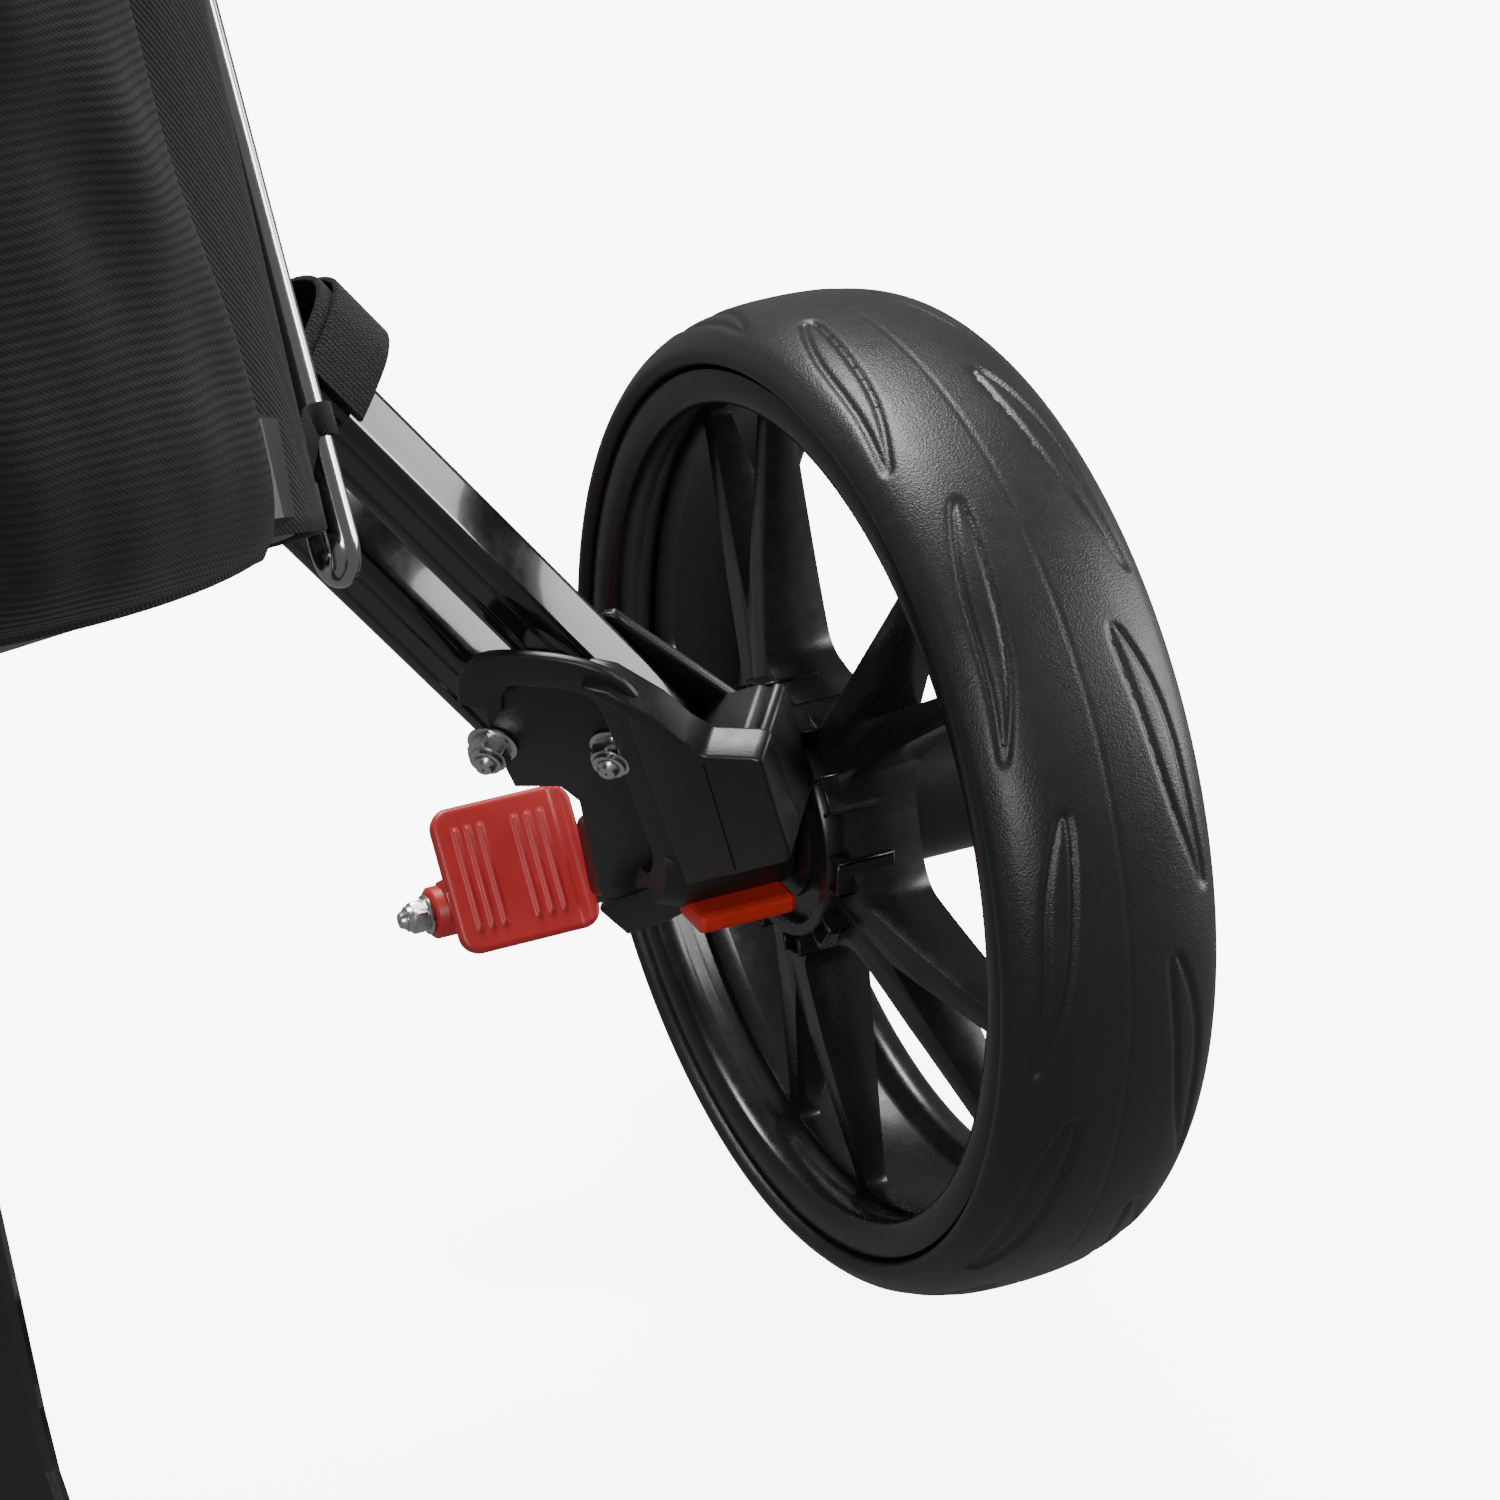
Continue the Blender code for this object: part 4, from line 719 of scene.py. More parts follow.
for s_, sg in (("l", 1), ("r", -1)):
    ms = vec(sg, 1, 1)
    tt = T * ms
    fkm = frame_m(pk(0, 0, 0, sg), L * ms, Mv * ms, tt)

    def strip(pts, t0_, t1_, th):
        """A thin wall that follows a line in the knuckle's plane."""
        q = spline(pts, 70)
        mid_ = (t0_ + t1_) / 2
        path = [pk(x, y, mid_, sg) for x, y in q]
        return sweep("k", path, rrect(th, (t1_ - t0_) / 2, th * .7, 3), np.array([np.cross(tt, unit(path[min(i + 1, 69)] - path[max(i - 1, 0)])) for i in range(70)]))

    parts = []

    def add(o, w=.0008, seg=2, ang=34):
        bevel(o, w, seg, ang, None)
        g = bpy.context.evaluated_depsgraph_get()
        m_ = bpy.data.meshes.new_from_object(o.evaluated_get(g))
        o.modifiers.clear()
        o.data = m_
        parts.append(o)

    add(prism("k", FACE, .0125, .0240, fkm), .0012, 3)
    fl_ = prism("k", FLOOR, .0126, .0146, fkm)
    add(fl_, .0005)
    add(prism("k", REAR, -.0160, -.0126, fkm), .0010, 3)
    parts.append(strip(LIP, .0128, .0258, .0016))
    # closing wall on the wheel side, and the web under the tube ends
    add(prism("k", [(-.0097, -.0435), (-.0118, -.0455), (-.0347, -.0345), (-.0467, -.0290), (-.0508, -.0253), (-.0500, .0100), (-.0455, .0080), (-.0450, -.0225), (-.0330, -.0285), (-.0130, -.0380)], -.0040, .0150, fkm), .0012, 3)
    add(prism("k", [(-.0165, -.0300), (-.0200, -.0330), (-.0330, -.0250), (-.0400, .0100), (-.0330, .0330), (-.0205, .0300), (-.0165, .0150)], -.0125, .0128, fkm), .0010)
    parts.append(rail("k", spline([pk(x, y, -.0126, sg) for x, y in REAR[1:8]], 40), .0011, False, tt))
    # raised line along the flat face
    parts.append(rail("k", [pk(-.0070, -.0290, .0240, sg), pk(-.0480, -.0080, .0240, sg)], .0005, False, tt))
    # boss on the axle, and the arm that reaches to the brake pivot
    bo = revolve("k", [(.0064, 0), (.0165, 0), (.0180, .0012), (.0180, .0330), (.0150, .0400), (.0064, .0400)], vec(sg * .2955, WC[1], WC[2]), X * -sg, (0, 0, 1), 72)
    bo.data.set_sharp_from_angle(angle=radians(40))
    parts.append(bo)
    fy = frame_m(vec(0, OY[1], 0), (0, 1, 0), (0, 0, 1), (sg, 0, 0))
    arm_ = [(.0766 + .0090 * cos(a), .0930 + .0090 * sin(a)) for a in np.linspace(-2.4, .75, 12)] + [(.0120 * cos(a), .145 + .0120 * sin(a)) for a in np.linspace(.75, 3.88, 12)]
    add(prism("k", arm_, .2690, .2790, fy), .0010)
    add(prism("k", [(-.012, .150), (.016, .1500), (.030, .172), (.020, .196), (.002, .196), (-.014, .170)], .2560, .2700, fy), .0012)
    o = join("knuckle_look_" + s_, *parts)
    o.data.set_sharp_from_angle(angle=radians(45))
    done(o, M_BLACK, "knuckle_" + s_, "black_plastic", "knuckle_" + s_)
    # star of ribs under the axle boss, round a small hub
    star = []
    hubp = vec(sg * .2830, .0085, .1285) + OY
    for i in range(6):
        a = radians(20 + 60 * i)
        d = vec(0, cos(a), sin(a))
        p = hubp + d * .0035
        q = hubp + d * .0135
        star.append(sweep("k", [p, q], [(-.0008, -.0055), (.0008, -.0055), (.0008, .0055), (-.0008, .0055)], X * sg))
    star.append(revolve("k", [(.0016, -.0058), (.0042, -.0058), (.0046, -.0052), (.0046, .0052), (.0042, .0058), (.0016, .0058)], hubp, X, (0, 0, 1), 32, True, 40))
    star.append(revolve("k", [(.0120, -.0050), (.0136, -.0050), (.0136, .0040), (.0120, .0040)], hubp, X, (0, 0, 1), 48, True, 40))
    o = join("axle_ribs_" + s_, *star)
    o.data.set_sharp_from_angle(angle=radians(45))
    done(o, M_SATIN, "knuckle_" + s_, "black_plastic")

# block and link that carry the brake arm, on the braked side
arm = []
bm0 = frame_m(vec(.262, .026, .130) + OY, X, unit((0, .45, .89)), unit((0, -.89, .45)))
b1 = prism("k", rrect(.0085, .0120, .003), -.012, .012, bm0)
arm.append(b1)
b2 = prism("k", rrect(.0062, .0094, .002), .0122, .0140, bm0)
arm.append(b2)
o = join("brake_arm_block", *arm)
bevel(o, .0008, 2, 35, None)
done(o, M_SATIN, "knuckle_l", "black_plastic")

# ------------------------------------------------------------ brake pedal
PN = unit((0, -.8, .6))
PD = unit((0, -.603, -.798))
PC = vec(.2450, .0644, .1090) + OY


def pedal():
    """Thin rounded plate, dished a little, with raised ribs and a rolled lower edge."""
    hw, hh, rad = .0224, .0219, .0060
    n = 110
    u = np.linspace(-1, 1, n)
    # squircle-mapped grid so that the border follows the rounded outline
    rows = []
    for a in u:
        row = []
        for b in u:
            x, y = a * hw, b * hh
            cx, cy = np.clip(x, -(hw - rad), hw - rad), np.clip(y, -(hh - rad), hh - rad)
            dx, dy = x - cx, y - cy
            dd = max(abs(dx), abs(dy))
            ll = sqrt(dx * dx + dy * dy)
            if ll > 1e-9 and dx and dy:
                k = dd / ll
                x, y = cx + dx * k, cy + dy * k
            row.append((x, y))
        rows.append(row)
    P = np.array(rows)
    x, y = P[..., 0], P[..., 1]
    edge = np.minimum(hw - np.abs(x), hh - np.abs(y))
    cxx, cyy = np.clip(x, -(hw - rad), hw - rad), np.clip(y, -(hh - rad), hh - rad)
    cor = rad - np.hypot(x - cxx, y - cyy)
    edge = np.where((np.abs(x) > hw - rad) & (np.abs(y) > hh - rad), cor, edge)
    z = -.0018 * (1 - np.sqrt(np.clip(1 - (1 - np.clip(edge / .0018, 0, 1)) ** 2, 0, 1)))
    for xr in (-.0158, -.0118, -.0078, .0030, .0072, .0114):
        cap = smoothstep(.0160, .0140, np.abs(y))
        z = z + .00085 * np.exp(-((x - xr) / .00085) ** 4) * cap
    z = z - .00035 * smoothstep(.0150, .0162, x) * smoothstep(.0195, .0180, x)
    fr = (PC, X, -PD, PN)
    top = PC + x[..., None] * X + y[..., None] * (-PD) + (z + .0002)[..., None] * PN
    zb = -.0042 - .0008 * smoothstep(0, .004, edge)
    zb = np.where(edge < 1e-5, z - .0006, zb)
    bot = PC + x[..., None] * X * .995 + y[..., None] * (-PD) * .995 + zb[..., None] * PN
    vs = np.concatenate([top.reshape(-1, 3), bot.reshape(-1, 3)])
    f = grid_faces(n, n)
    m = n * n
    f2 = [tuple(i + m for i in q[::-1]) for q in f]
    rim_ = [(0, j) for j in range(n)] + [(i, n - 1) for i in range(1, n)] + [(n - 1, j) for j in range(n - 2, -1, -1)] + [(i, 0) for i in range(n - 2, 0, -1)]
    idx = [i * n + j for i, j in rim_]
    f3 = [(idx[k], idx[(k + 1) % len(idx)], idx[(k + 1) % len(idx)] + m, idx[k] + m) for k in range(len(idx))]
    return obj_of("p", vs, f + f2 + f3, sharp=55)


fpm = frame_m(PC, X, -PD, PN)
parts = [pedal()]
for lo, hi in (((-.0195, -.0100, -.0185), (-.0165, .0030, -.0035)), ((.0165, -.0100, -.0185), (.0195, .0030, -.0035)), ((-.0190, -.0060, -.0150), (.0190, -.0030, -.0035))):
    parts.append(bevel(box("k", lo, hi, fpm), .0006, 2, 30, None))
boss = revolve("k", [(.0031, 0), (.0070, 0), (.0078, .0008), (.0078, .0434), (.0070, .0442), (.0031, .0442)], vec(.2220, BR[1], BR[2]), X, (0, 0, 1), 48, True, 40)
parts.append(boss)
web = box("k", (-.0170, -.0120, -.0200), (.0170, -.0070, -.0040), fpm)
parts.append(bevel(web, .0008, 2, 30, None))
for p in parts:
    if p.modifiers:
        dg = bpy.context.evaluated_depsgraph_get()
        me = bpy.data.meshes.new_from_object(p.evaluated_get(dg))
        p.modifiers.clear()
        p.data = me
o = join("brake_pedal_look", *parts)
o.data.set_sharp_from_angle(angle=radians(50))
done(o, M_RED, "brake_pedal", "red_plastic", "brake_pedal")

# ------------------------------------------------------------ leg tubes: rounded section with a groove in each wide face
def leg_section(hm, ht):
    r = .0034
    pts = []
    g, d = .0011, .0007
    base = rrect(hm, ht, r, 6)
    out = []
    k = len(base)
    for i in range(k):
        a, b = np.array(base[i]), np.array(base[(i + 1) % k])
        out.append(tuple(a))
        if abs(a[0] - b[0]) > .5 * hm:      # face whose normal is the pivot axis
            s = np.sign(b[0] - a[0])
            y = a[1]
            inn = -np.sign(y)
            for xx, dd in ((-s * .0045, 0), (-s * (.0045 - g * .35), d), (-s * (.0045 - g), d), (-s * (.0045 - g * 1.35), 0),
                           (s * (.0045 - g * 1.35), 0), (s * (.0045 - g), d), (s * (.0045 - g * .35), d), (s * .0045, 0)):
                out.append((xx, y + inn * dd))
    return out


def leg(name, p, sg):
    sec = leg_section(.0100, .0090)
    m = frame_m(p * vec(sg, 1, 1), Mv * vec(sg, 1, 1), T * vec(sg, 1, 1), L * vec(sg, 1, 1))
    o = prism(name, sec, -.0138, LEG_LEN + .0118, m)
    return bevel(o, .0006, 2, 60, 25)


for s_, sg in (("l", 1), ("r", -1)):
    done(leg("upper_leg_%s_look" % s_, PUK, sg), M_TUBE, "upper_leg_" + s_, "painted_tube", "upper_leg_" + s_)
    done(leg("lower_leg_%s_look" % s_, PLK, sg), M_TUBE, "lower_leg_" + s_, "painted_tube", "lower_leg_" + s_)


# ------------------------------------------------------------ bag
def R_of(s):
    """Radius of the fabric body: flared at the foot, drawn in above it, full again towards the cuff."""
    s = np.asarray(s, float)
    r = .0790 + .0075 * np.exp(-np.clip(s, 0, 9) / .045) + .0155 * smoothstep(.14, .34, s)
    return r - .0015 * smoothstep(.40, .47, s) * smoothstep(.62, .52, s)


def bagpt(phi, r, s):
    """Round the bag from its front, phi in radians."""
    phi, r, s = np.broadcast_arrays(np.asarray(phi, float), np.asarray(r, float), np.asarray(s, float))
    x = r * np.sin(phi)
    e = -r * np.cos(phi)
    return C + x[..., None] * X + e[..., None] * E + s[..., None] * A


def bag_uv(o, k=.095):
    me = o.data
    lay = me.uv_layers.get("UVMap") or me.uv_layers.new(name="UVMap")
    co = np.zeros(len(me.vertices) * 3)
    me.vertices.foreach_get("co", co)
    p = co.reshape(-1, 3) - C
    x, e, s = p[:, 0], p @ E, p @ A
    u = np.arctan2(x, -e) * k
    uv = np.stack([u, s + np.hypot(x, e) * .5], 1)
    idx = np.zeros(len(me.loops), np.int32)
    me.loops.foreach_get("vertex_index", idx)
    lay.data.foreach_set("uv", uv[idx].astype(np.float32).ravel())
    return o


def folds(phi, s):
    """Soft creases that fan out from the tied corners."""
    f = .0009 * np.sin(9 * phi + 14 * s + .8) * smoothstep(.30, .02, s)
    f = f + .0007 * np.sin(17 * phi - 31 * s + 1.9) * smoothstep(.22, .0, s)
    f = f + .0006 * np.sin(5 * phi + 55 * s) + .0005 * np.sin(23 * phi + 9 * s + 2.2)
    return f


nphi, ns = ((300, 240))
ph = np.arange(nphi) * 2 * pi / nphi - pi
ss = np.linspace(.0005, BAG_LEN - .0005, ns)
PHI, SS = np.meshgrid(ph, ss, indexing="ij")
RO = R_of(SS) + folds(PHI, SS)
tie = np.exp(-((np.abs(PHI) - radians(78)) / .30) ** 2) * smoothstep(.060, .0, SS)
RO = RO + .0045 * tie
gus = np.exp(-((np.abs(PHI) - radians(80)) / .42) ** 2)
RO = RO + (.0938 - RO) * np.clip(gus * 1.15, 0, 1) * smoothstep(.34, .20, SS)
RO = np.minimum(RO, .0975)
outer = bagpt(PHI, RO, SS)
inner = bagpt(PHI, np.minimum(RO - .0022, .0912) , SS)
V = np.concatenate([outer, inner[:, ::-1]], 1).reshape(-1, 3)
body = obj_of("bag_body", V, grid_faces(nphi, 2 * ns, True, True))
bag_uv(body)
done(body, M_TWILL, "frame_and_bag", "bag_fabric", "bag_shell")


def rounded_pocket(name, phi0, s0, s1, half, depth, n=110, m=120, skew=None, sag=0.0, side_pow=.42, gap=.0006, fold=1.0, taper=0.0):
    """Soft pocket that stands off the bag: crowned outside, drawn in at its seams."""
    a = np.linspace(-1, 1, n)
    b = np.linspace(0, 1, m)
    AA, BB = np.meshgrid(a, b, indexing="ij")
    S = s0 + (s1 - s0) * BB - sag * (1 - AA ** 2) * (1 - BB) ** 3
    hf = half(S) if callable(half) else half
    PH = phi0 + AA * hf
    prof = np.clip(1 - np.abs(AA) ** 3.2, 0, 1) ** side_pow * np.clip(1 - np.abs(2 * BB - 1) ** 9, 0, 1) ** .5
    d = depth * (1 - taper * BB) * prof
    d = d + fold * (folds(PH * 1.3 + phi0, S) + .0011 * np.sin(12 * AA + 26 * BB) * np.sin(pi * BB)) * np.clip(prof * 1.6, 0, 1)
    base = R_of(np.clip(S, 0, 1))
    out = bagpt(PH, base + gap + .0012 + np.maximum(d, 0), S)
    inn = bagpt(PH, base + gap, S)
    k = n * m
    V = np.concatenate([out.reshape(-1, 3), inn.reshape(-1, 3)])
    f = grid_faces(n, m)
    f2 = [tuple(i + k for i in q[::-1]) for q in f]
    ring = [j for j in range(m)] + [i * m + m - 1 for i in range(1, n)] + [(n - 1) * m + j for j in range(m - 2, -1, -1)] + [i * m for i in range(n - 2, 0, -1)]
    f3 = [(ring[q], ring[(q + 1) % len(ring)], ring[(q + 1) % len(ring)] + k, ring[q] + k) for q in range(len(ring))]
    o = obj_of(name, V, f + f2 + f3)
    edge = out.reshape(-1, 3)[ring]
    return o, edge, out


def inflate(o, cap, voxel=.005, frames=18, pressure=4.0):
    """Cloth pass: remesh, swell under pressure, cap how far any point goes."""
    md = o.modifiers.new("r", "REMESH")
    md.mode = "VOXEL"
    md.voxel_size = voxel
    dg = bpy.context.evaluated_depsgraph_get()
    me = bpy.data.meshes.new_from_object(o.evaluated_get(dg))
    o.modifiers.clear()
    o.data = me
    rest = np.zeros(len(me.vertices) * 3)
    me.vertices.foreach_get("co", rest)
    rest = rest.reshape(-1, 3)
    c = o.modifiers.new("c", "CLOTH")
    c.settings.use_pressure = True
    c.settings.uniform_pressure_force = pressure
    c.settings.effector_weights.gravity = 0
    c.settings.quality = 5
    c.settings.tension_stiffness = 25
    c.settings.compression_stiffness = 25
    c.settings.bending_stiffness = 1.5
    c.collision_settings.use_collision = False
    c.point_cache.frame_start = 1
    c.point_cache.frame_end = frames
    sc = bpy.context.scene
    for f in range(1, frames + 1):
        sc.frame_set(f)
    dg = bpy.context.evaluated_depsgraph_get()
    ev = o.evaluated_get(dg)
    co = np.zeros(len(me.vertices) * 3)
    ev.data.vertices.foreach_get("co", co)
    co = co.reshape(-1, 3)
    o.modifiers.clear()
    sc.frame_set(1)
    d = co - rest
    ln = np.linalg.norm(d, axis=1)
    k = np.where(ln > cap, cap / np.maximum(ln, 1e-9), 1)
    new = rest + d * k[:, None]
    # stay outside the bag's own surface
    p = new - C
    x, e, s = p[:, 0], p @ E, p @ A
    r = np.hypot(x, e)
    lim = R_of(np.clip(s, 0, BAG_LEN)) + .0004
    k = np.where(r < lim, lim / np.maximum(r, 1e-6), 1)
    new = C + (x * k)[:, None] * X + (e * k)[:, None] * E + s[:, None] * A
    me.vertices.foreach_set("co", new.astype(np.float32).ravel())
    me.update()
    sb = o.modifiers.new("s", "SUBSURF")
    sb.levels = sb.render_levels = 1
    dg = bpy.context.evaluated_depsgraph_get()
    me = bpy.data.meshes.new_from_object(o.evaluated_get(dg))
    o.modifiers.clear()
    o.data = me
    me.shade_smooth()
    return o


def piping(name, edge, r, mat, body_="frame_and_bag"):
    p = spline(np.concatenate([edge, edge[:1]])[::6], 260)[:-1]
    o = sweep(name, p, circle(r, 10), A, closed=True, uvlen=True)
    return done(o, mat, body_, "bag_fabric")


half_f = lambda s: radians(35) + radians(13) * np.exp(-np.clip(s + .01, 0, 9) / .06)
fp, fedge, fout = rounded_pocket("front_panel_pocket", 0, -.0020, .300, half_f, .030, 170, 200, sag=.0080, side_pow=.50)
bag_uv(fp)
done(fp, M_RIB, "frame_and_bag", "bag_fabric", "front_pocket")
piping("front_panel_binding", fedge, .0013, M_BIND)
up, uedge, uout = rounded_pocket("upper_pocket_soft", 0, .322, .556, radians(46), .024, 90, 110, side_pow=.5)
up = bag_uv(inflate(up, .006))
done(up, M_RIB, "frame_and_bag", "bag_fabric", "upper_pocket")
piping("upper_pocket_binding", uedge, .0012, M_BIND)
for s_, sg in (("l", 1), ("r", -1)):
    sp, se, so = rounded_pocket("side_pocket_soft_" + s_, sg * radians(118), .204, .546, radians(19), .014, 60, 120, side_pow=.5)
    sp = bag_uv(inflate(sp, .004))
    done(sp, M_TWILL, "frame_and_bag", "bag_fabric", "side_pocket_" + s_)
    piping("side_pocket_binding_" + s_, se, .0011, M_BIND)


def bag_path(name, pts, section, mat, slot_="bag_fabric", n=80):
    """Flat tape or cord laid on the bag: pts are (phi, extra radius, s)."""
    q = spline(pts, n)
    p = bagpt(q[:, 0], R_of(q[:, 2]) + q[:, 1], q[:, 2])
    nrm = np.stack([np.sin(q[:, 0]), -np.cos(q[:, 0])], 1)
    up_ = nrm[:, :1] * X + nrm[:, 1:] * E
    o = sweep(name, p, section, up_, uvlen=True)
    return done(o, mat, "frame_and_bag", slot_)


# zips with pulls, hem tape, seams
tape = rrect(.0065, .0006, .0004, 2)
bag_path("upper_zip_tape", [(-radians(34), .0262, .540), (-radians(20), .0268, .541), (0, .0270, .541), (radians(20), .0268, .541), (radians(34), .0262, .540)], tape, M_BIND)
zt = []
for i in range(70):
    a = radians(-33 + 66 * i / 69)
    p = bagpt(a, R_of(.5405) + .0280, .5405)
    d = vec(sin(a), 0, 0) - E * cos(a)
    t = unit(np.cross(A, d))
    zt.append(box("z", (-.0006, -.0019, -.0005), (.0006, .0019, .0007), frame_m(p, t, A, np.cross(t, A))))
z = join("upper_zip_teeth", *zt)
done(z, M_BLACK, "frame_and_bag", "black_plastic")
pp = bagpt(radians(30), R_of(.5405) + .0292, .5405)
d = vec(sin(radians(30)), 0, 0) - E * cos(radians(30))
t = unit(np.cross(A, d))
fz = frame_m(pp, t, A, d)
z = join("upper_zip_pull", bevel(box("z", (-.0040, -.0035, -.001), (.0040, .0035, .0022), fz), .0006, 2, 30, None), prism("z", [(x, y - .0150) for x, y in rrect(.0030, .0120, .0028, 4)], .0005, .0019, fz))
done(z, M_STEEL, "frame_and_bag", "zinc_steel")
for s_, sg in (("l", 1), ("r", -1)):
    bag_path("gusset_seam_" + s_, [(sg * radians(66), .0010, .36), (sg * radians(67), .0010, .46), (sg * radians(68), .0010, .60), (sg * radians(70), .0010, .78)], rrect(.0042, .0007, .0004, 2), M_BIND)
    bag_path("hem_tape_" + s_, [(sg * radians(50), .0012, .0062), (sg * radians(66), .0040, .0062), (sg * radians(80), .0088, .0062), (sg * radians(96), .0040, .0062), (sg * radians(125), .0014, .0062)], rrect(.0055, .0008, .0005, 2), M_BIND)

# cuff: padded ring with padded dividers
RI = .091
cp = chaikin([(.0978, BAG_LEN + .0006), (.1006, BAG_LEN + .0050), (.1011, BAG_LEN + .0200), (.1009, BAG_LEN + .0390), (.0978, BAG_LEN + .0456), (.0925, BAG_LEN + .0462), (.0892, BAG_LEN + .0430), (.0882, BAG_LEN + .0360), (.0882, BAG_LEN + .0040), (.0896, BAG_LEN + .0006)], 2)
cu = revolve("cuff_pad", cp, C, A, (1, 0, 0), 200)
bag_uv(cu)
bars = []
for d_, w_ in ((X, E), (E, X)):
    sec = [(x, y) for x, y in rrect(.0043, .0122, .0040, 5)]
    n = 60
    path = [C + d_ * (-.0888 + .1776 * i / (n - 1)) + A * (BAG_LEN + .0180) for i in range(n)]
    bars.append(sweep("bar", path, sec, A))
br = bag_uv(join("cuff_dividers", *bars))
done(cu, M_RIB, "frame_and_bag", "black_plastic", "bag_cuff")
done(br, M_BIND, "frame_and_bag", "black_plastic")
for i, s_ in enumerate((.0055, .0405)):
    r_ = .1016
    o = sweep("cuff_tape_%d" % i, [C + A * (BAG_LEN + s_) + (X * cos(a) + E * sin(a)) * r_ for a in np.arange(160) * 2 * pi / 160], rrect(.0006, .0028, .0004, 2), A, closed=True)
    done(bag_uv(o), M_BIND, "frame_and_bag", "bag_fabric")

# upper strap with a buckle
n = 160
an = np.radians(np.linspace(-158, 158, n))
p = C + np.outer(np.sin(an), X) * .0990 - np.outer(np.cos(an), E) * .0990 + A * .5758
nr = np.outer(np.sin(an), X) - np.outer(np.cos(an), E)
us = sweep("upper_strap_web", p, rrect(.0100, .0009, .0006, 2), nr, uvlen=True)
done(us, M_WEB, "frame_and_bag", "webbing", "upper_strap")
fb = frame_m(C - E * .1010 + A * .5758, X, A, -E)
bk = prism("k", rrect(.0170, .0135, .0030, 5), 0, .0042, fb)
for y0, y1 in ((-.0145, -.0050), (-.0015, .0080)):
    bk = boolean(bk, box("c", (y0, -.0106, -.01), (y1, .0106, .02), fb))
bevel(bk, .0007, 2, 35, None)
bk.name = "strap_buckle"
done(bk, M_BLACK, "frame_and_bag", "webbing")

# carry handle: two sewn tabs and a padded grip
cpts = [(.586, .0962), (.600, .0965), (.612, .0972), (.626, .1090), (.642, .1190), (.670, .1225), (.698, .1190), (.714, .1090), (.728, .0972), (.740, .0965), (.754, .0962)]
q = spline(cpts, 90)
pth = C + np.outer(q[:, 0], A) - np.outer(q[:, 1], E)
cw = sweep("carry_web", pth, rrect(.0135, .0012, .0008, 2), np.tile(X * 0 - E, (90, 1)) * 1.0 + 0 * pth, uvlen=True)
done(cw, M_WEB, "frame_and_bag", "webbing", "carry_handle")
mid = [i for i in range(90) if .636 < q[i, 0] < .704]
gs = [(x * 1.0, y) for x, y in rrect(.0150, .0042, .0040, 6)]
cg = sweep("carry_grip", pth[mid], gs, np.tile(-E, (len(mid), 1)), uvlen=True)
done(cg, M_TWILL, "frame_and_bag", "webbing")

# bright rods: hairpins, tied to the hem at their feet
RB = vec(.1008, -.1740, .3490) + OY
rdir = vec(0, sin(radians(35.5)), cos(radians(35.5)))
es = unit(E - rdir * np.dot(E, rdir))
for s_, sg in (("l", 1), ("r", -1)):
    c0 = RB + rdir * .0060 + es * .0070
    pts = [RB + rdir * t for t in np.linspace(.470, .0060, 60)]
    pts += [c0 - es * .0070 * cos(a) - rdir * .0070 * sin(a) for a in np.linspace(0, pi, 25)[1:]]
    pts += [RB + es * .0140 + rdir * t for t in np.linspace(.0080, .0500, 10)]
    pts = np.array(pts) * vec(sg, 1, 1)
    o = sweep("bag_rod_look_" + s_, pts, circle(.0036, 28), X * sg)
    done(o, M_CHROME, "frame_and_bag", "bright_rod", "bag_rod_" + s_)
    # the tie: a short loop of tape from the hem corner round the rod
    ctr = (RB + rdir * .0330) * vec(sg, 1, 1)
    b0 = bagpt(sg * radians(80), R_of(.012) + .0070, .0120)
    wdir = rdir * vec(1, 1, 1)
    out_ = unit(ctr - b0 - wdir * np.dot(ctr - b0, wdir))
    sd = np.cross(wdir, out_)
    loop = [b0 - out_ * .004 + sd * .0016, ctr - out_ * .0046 + sd * .0020]
    loop += [ctr + (-out_ * cos(a) + sd * sin(a)) * .0047 for a in np.linspace(.5, 2 * pi - .5, 22)]
    loop += [ctr - out_ * .0046 - sd * .0020, b0 - out_ * .004 - sd * .0016]
    o = sweep("rod_tie_" + s_, np.array(loop), rrect(.0038, .0005, .0003, 2), np.array([np.cross(wdir, unit(loop[min(i + 1, len(loop) - 1)] - loop[max(i - 1, 0)])) for i in range(len(loop))]), uvlen=True)
    done(o, M_BIND, "frame_and_bag", "bag_fabric")

# ------------------------------------------------------------ leg strap: a slack loop round the upper leg, its end lapped over
def strap_loop(name, pts, alpha, w, th, close):
    q = spline(pts + pts[:1] if close else pts, 120)
    if close:
        q = q[:-1]
    p = PUK + L * alpha + np.outer(q[:, 0], Mv) + np.outer(q[:, 1], T)
    c = p.mean(0)
    nrm = []
    for i in range(len(p)):
        t = unit(p[(i + 1) % len(p)] - p[i - 1]) if close else unit(p[min(i + 1, len(p) - 1)] - p[max(i - 1, 0)])
        nrm.append(np.cross(L, t))
    return sweep(name, p, rrect(w, th, th * .7, 2), np.array(nrm), closed=close, uvlen=True)


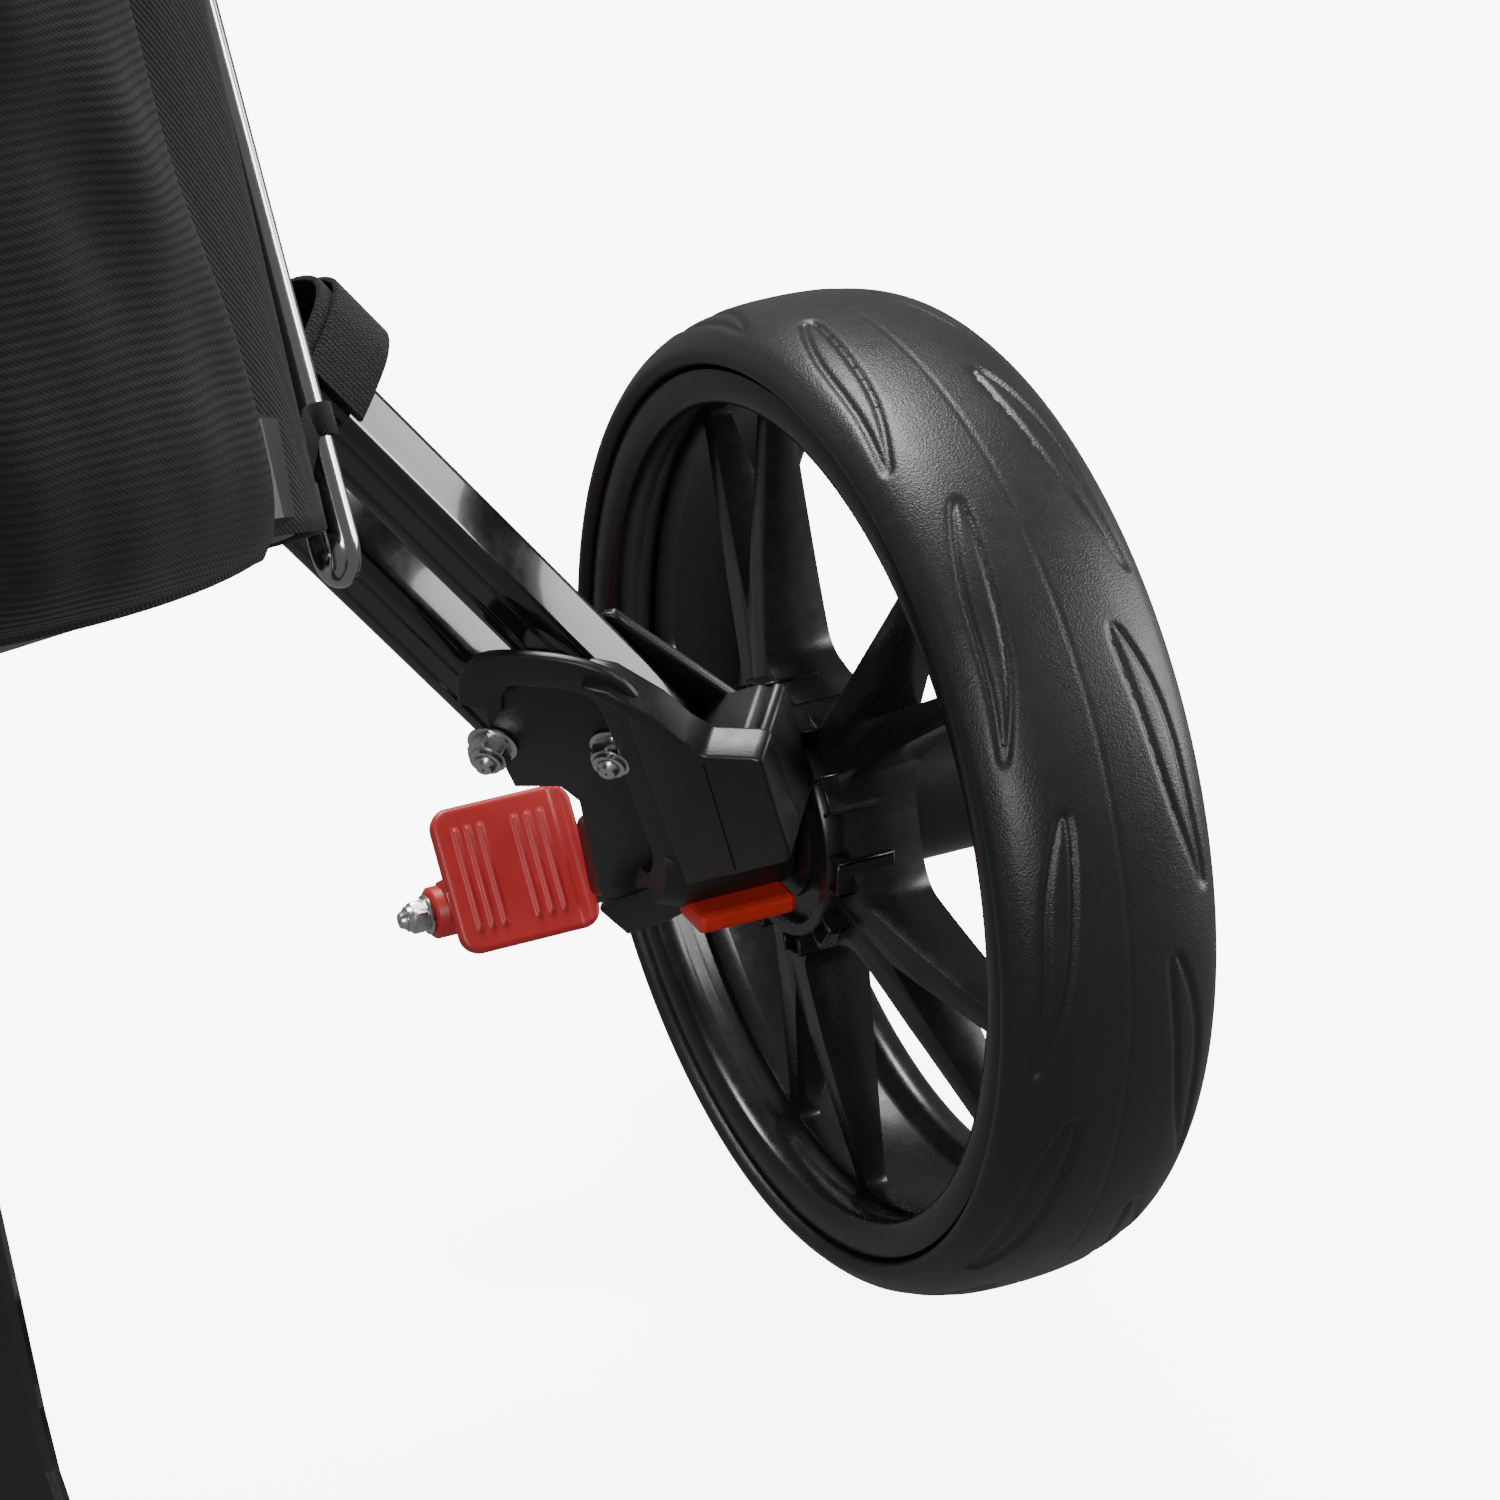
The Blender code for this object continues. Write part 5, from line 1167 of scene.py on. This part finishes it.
pear = [(-.0118, .0108), (.0000, .0112), (.0118, .0106), (.0126, -.0020), (.0128, -.0130), (.0110, -.0215), (.0030, -.0258), (-.0070, -.0225), (-.0118, -.0140), (-.0126, -.0020)]
ls = strap_loop("leg_strap_web", pear, .1430, .0115, .0010, True)
done(ls, M_WEB, "upper_leg_l", "webbing", "leg_strap")
lq = spline(pear + pear[:1], 120)
lap = [(-.0140, .0085), (-.0146, -.0030), (-.0138, -.0150), (-.0088, -.0250), (.0028, -.0284), (.0126, -.0240), (.0150, -.0140)]
o = strap_loop("leg_strap_end", lap, .1395, .0110, .0009, False)
done(o, M_WEB, "upper_leg_l", "webbing")

# ------------------------------------------------------------ handle
loop2 = [(.0, .066), (.075, .068), (.135, .100), (.148, .160), (.120, .205), (.060, .222), (0, .226)]
full = loop2 + [(-x, y) for x, y in loop2[::-1][1:-1]]
P = chaikin(full, 4)
lp = np.array([HP + X * x + H1 * y for x, y in P])
ring = sweep("h", lp, circle(.0095, 28), HS, closed=True)
hm = frame_m(HP, X, H1, HS)
stem = bevel(box("h", (-.0110, .010, -.0100), (.0110, .062, .0100), hm), .0022, 3, 30, None)
dg = bpy.context.evaluated_depsgraph_get()
me = bpy.data.meshes.new_from_object(stem.evaluated_get(dg))
stem.modifiers.clear()
stem.data = me
hub = revolve("h", [(.0043, -.0112), (.0140, -.0112), (.0150, -.0102), (.0150, .0102), (.0140, .0112), (.0043, .0112)], HP, X, (0, 0, 1), 64, True, 40)
h = join("handle_look", ring, stem, hub)
h.data.set_sharp_from_angle(angle=radians(45))
done(h, M_TUBE, "handle", "painted_tube", "handle")
far = [i for i in range(len(P)) if P[i][1] > .168]
seq = sorted(far, key=lambda i: P[i][0])
gp = np.array([HP + X * P[i][0] + H1 * P[i][1] for i in seq])
gp = spline(gp[::2], 120)
secs = []
vs = []
for i, p in enumerate(gp):
    t = unit(gp[min(i + 1, 119)] - gp[max(i - 1, 0)])
    s = unit(np.cross(t, HS))
    w = np.cross(s, t)
    k = i / 119
    ro = .0157 - .0030 * (1 - smoothstep(0, .03, k)) - .0030 * smoothstep(.97, 1, k) + .00035 * sin(i * .55) * smoothstep(.06, .12, k) * smoothstep(.94, .88, k)
    for q in range(28):
        a = 2 * pi * q / 28
        vs.append(p + (s * cos(a) + w * sin(a)) * ro)
    for q in range(28):
        a = -2 * pi * q / 28
        vs.append(p + (s * cos(a) + w * sin(a)) * .0099)
f = grid_faces(120, 56, False, False)
f = [q for q in f if not (q[0] % 56 == 27)]
f += [(i * 56 + 27, i * 56, (i + 1) * 56, (i + 1) * 56 + 27) for i in range(119)] + [(i * 56 + 55, i * 56 + 28, (i + 1) * 56 + 28, (i + 1) * 56 + 55) for i in range(119)]
for i in (0, 119):
    for q in range(28):
        z = (q + 1) % 28
        f.append((i * 56 + q, i * 56 + z, i * 56 + 28 + (28 - z) % 28, i * 56 + 28 + (28 - q) % 28))
g = obj_of("handle_foam", vs, f)
done(g, M_GRIP, "handle", "grip_foam", "handle_grip")

# small round and turned metal nodes get finer edges
for n_ in ("clamp_pin", "front_axle", "rear_axle_l", "rear_axle_r", "bag_base", "lower_tube", "upper_tube"):
    bevel(N[n_], .0004, 2, 40, None)

# ------------------------------------------------------------ stage
fl = obj_of("floor", [(-9, -9, -.0004), (9, -9, -.0004), (9, 9, -.0004), (-9, 9, -.0004)], [(0, 1, 2, 3)])
m_, nt_, b_ = nodes_of("pale_floor")
co_ = put(nt_, "ShaderNodeTexCoord").outputs["Object"]
nt_.links.new(mixcol(nt_, remap(nt_, noise(nt_, co_, 3, 4), 0, 1), (.90, .90, .90), (.93, .93, .93)), b_.inputs["Base Color"])
b_.inputs["Roughness"].default_value = .9
b_.inputs["Specular IOR Level"].default_value = .1
b_.inputs["Emission Color"].default_value = (1, 1, 1, 1)
b_.inputs["Emission Strength"].default_value = 7.0
paint(fl, m_)
fl.visible_glossy = False
fl.visible_diffuse = False
w_ = bpy.data.worlds.new("studio")
bpy.context.scene.world = w_
w_.use_nodes = True
w_.node_tree.nodes["Background"].inputs[0].default_value = (1, 1, 1, 1)
w_.node_tree.nodes["Background"].inputs[1].default_value = .22


def area(name, loc, target, size, power):
    l = bpy.data.lights.new(name, "AREA")
    l.shape = "RECTANGLE"
    l.size, l.size_y = size
    l.energy = power
    o = bpy.data.objects.new(name, l)
    COL.objects.link(o)
    d = Vector(target) - Vector(loc)
    o.location = loc
    o.rotation_euler = d.to_track_quat("-Z", "Y").to_euler()
    return o


area("top_soft", (.25, 1.15, 2.5), (.2, 0, .2), (1.2, .9), 120)
area("front_soft", (-1.5, -2.3, 1.5), (.1, 0, .2), (1.0, 1.2), 48)
area("low_side_soft", (2.3, -.28, .50), (.25, 0, .25), (1.3, .9), 22)
area("side_soft", (2.4, -.9, 1.3), (.3, 0, .15), (.6, 1.5), 40)

A_, E_ = radians(26.45), radians(28.7)
cr = vec(cos(A_), -sin(A_), 0)
cd_ = vec(-sin(A_) * cos(E_), -cos(A_) * cos(E_), sin(E_))
cu_ = vec(sin(A_) * sin(E_), cos(A_) * sin(E_), cos(E_))
cam_p = WC - .0366 * cr + .0124 * cu_ + 1.5748 * cd_
cam = bpy.data.cameras.new("camera")
cam.sensor_width = 36
cam.lens = 132
cam.clip_start = .01
co = bpy.data.objects.new("camera", cam)
COL.objects.link(co)
co.matrix_world = Matrix(((cr[0], cu_[0], cd_[0], cam_p[0]), (cr[1], cu_[1], cd_[1], cam_p[1]), (cr[2], cu_[2], cd_[2], cam_p[2]), (0, 0, 0, 1)))
bpy.context.scene.camera = co

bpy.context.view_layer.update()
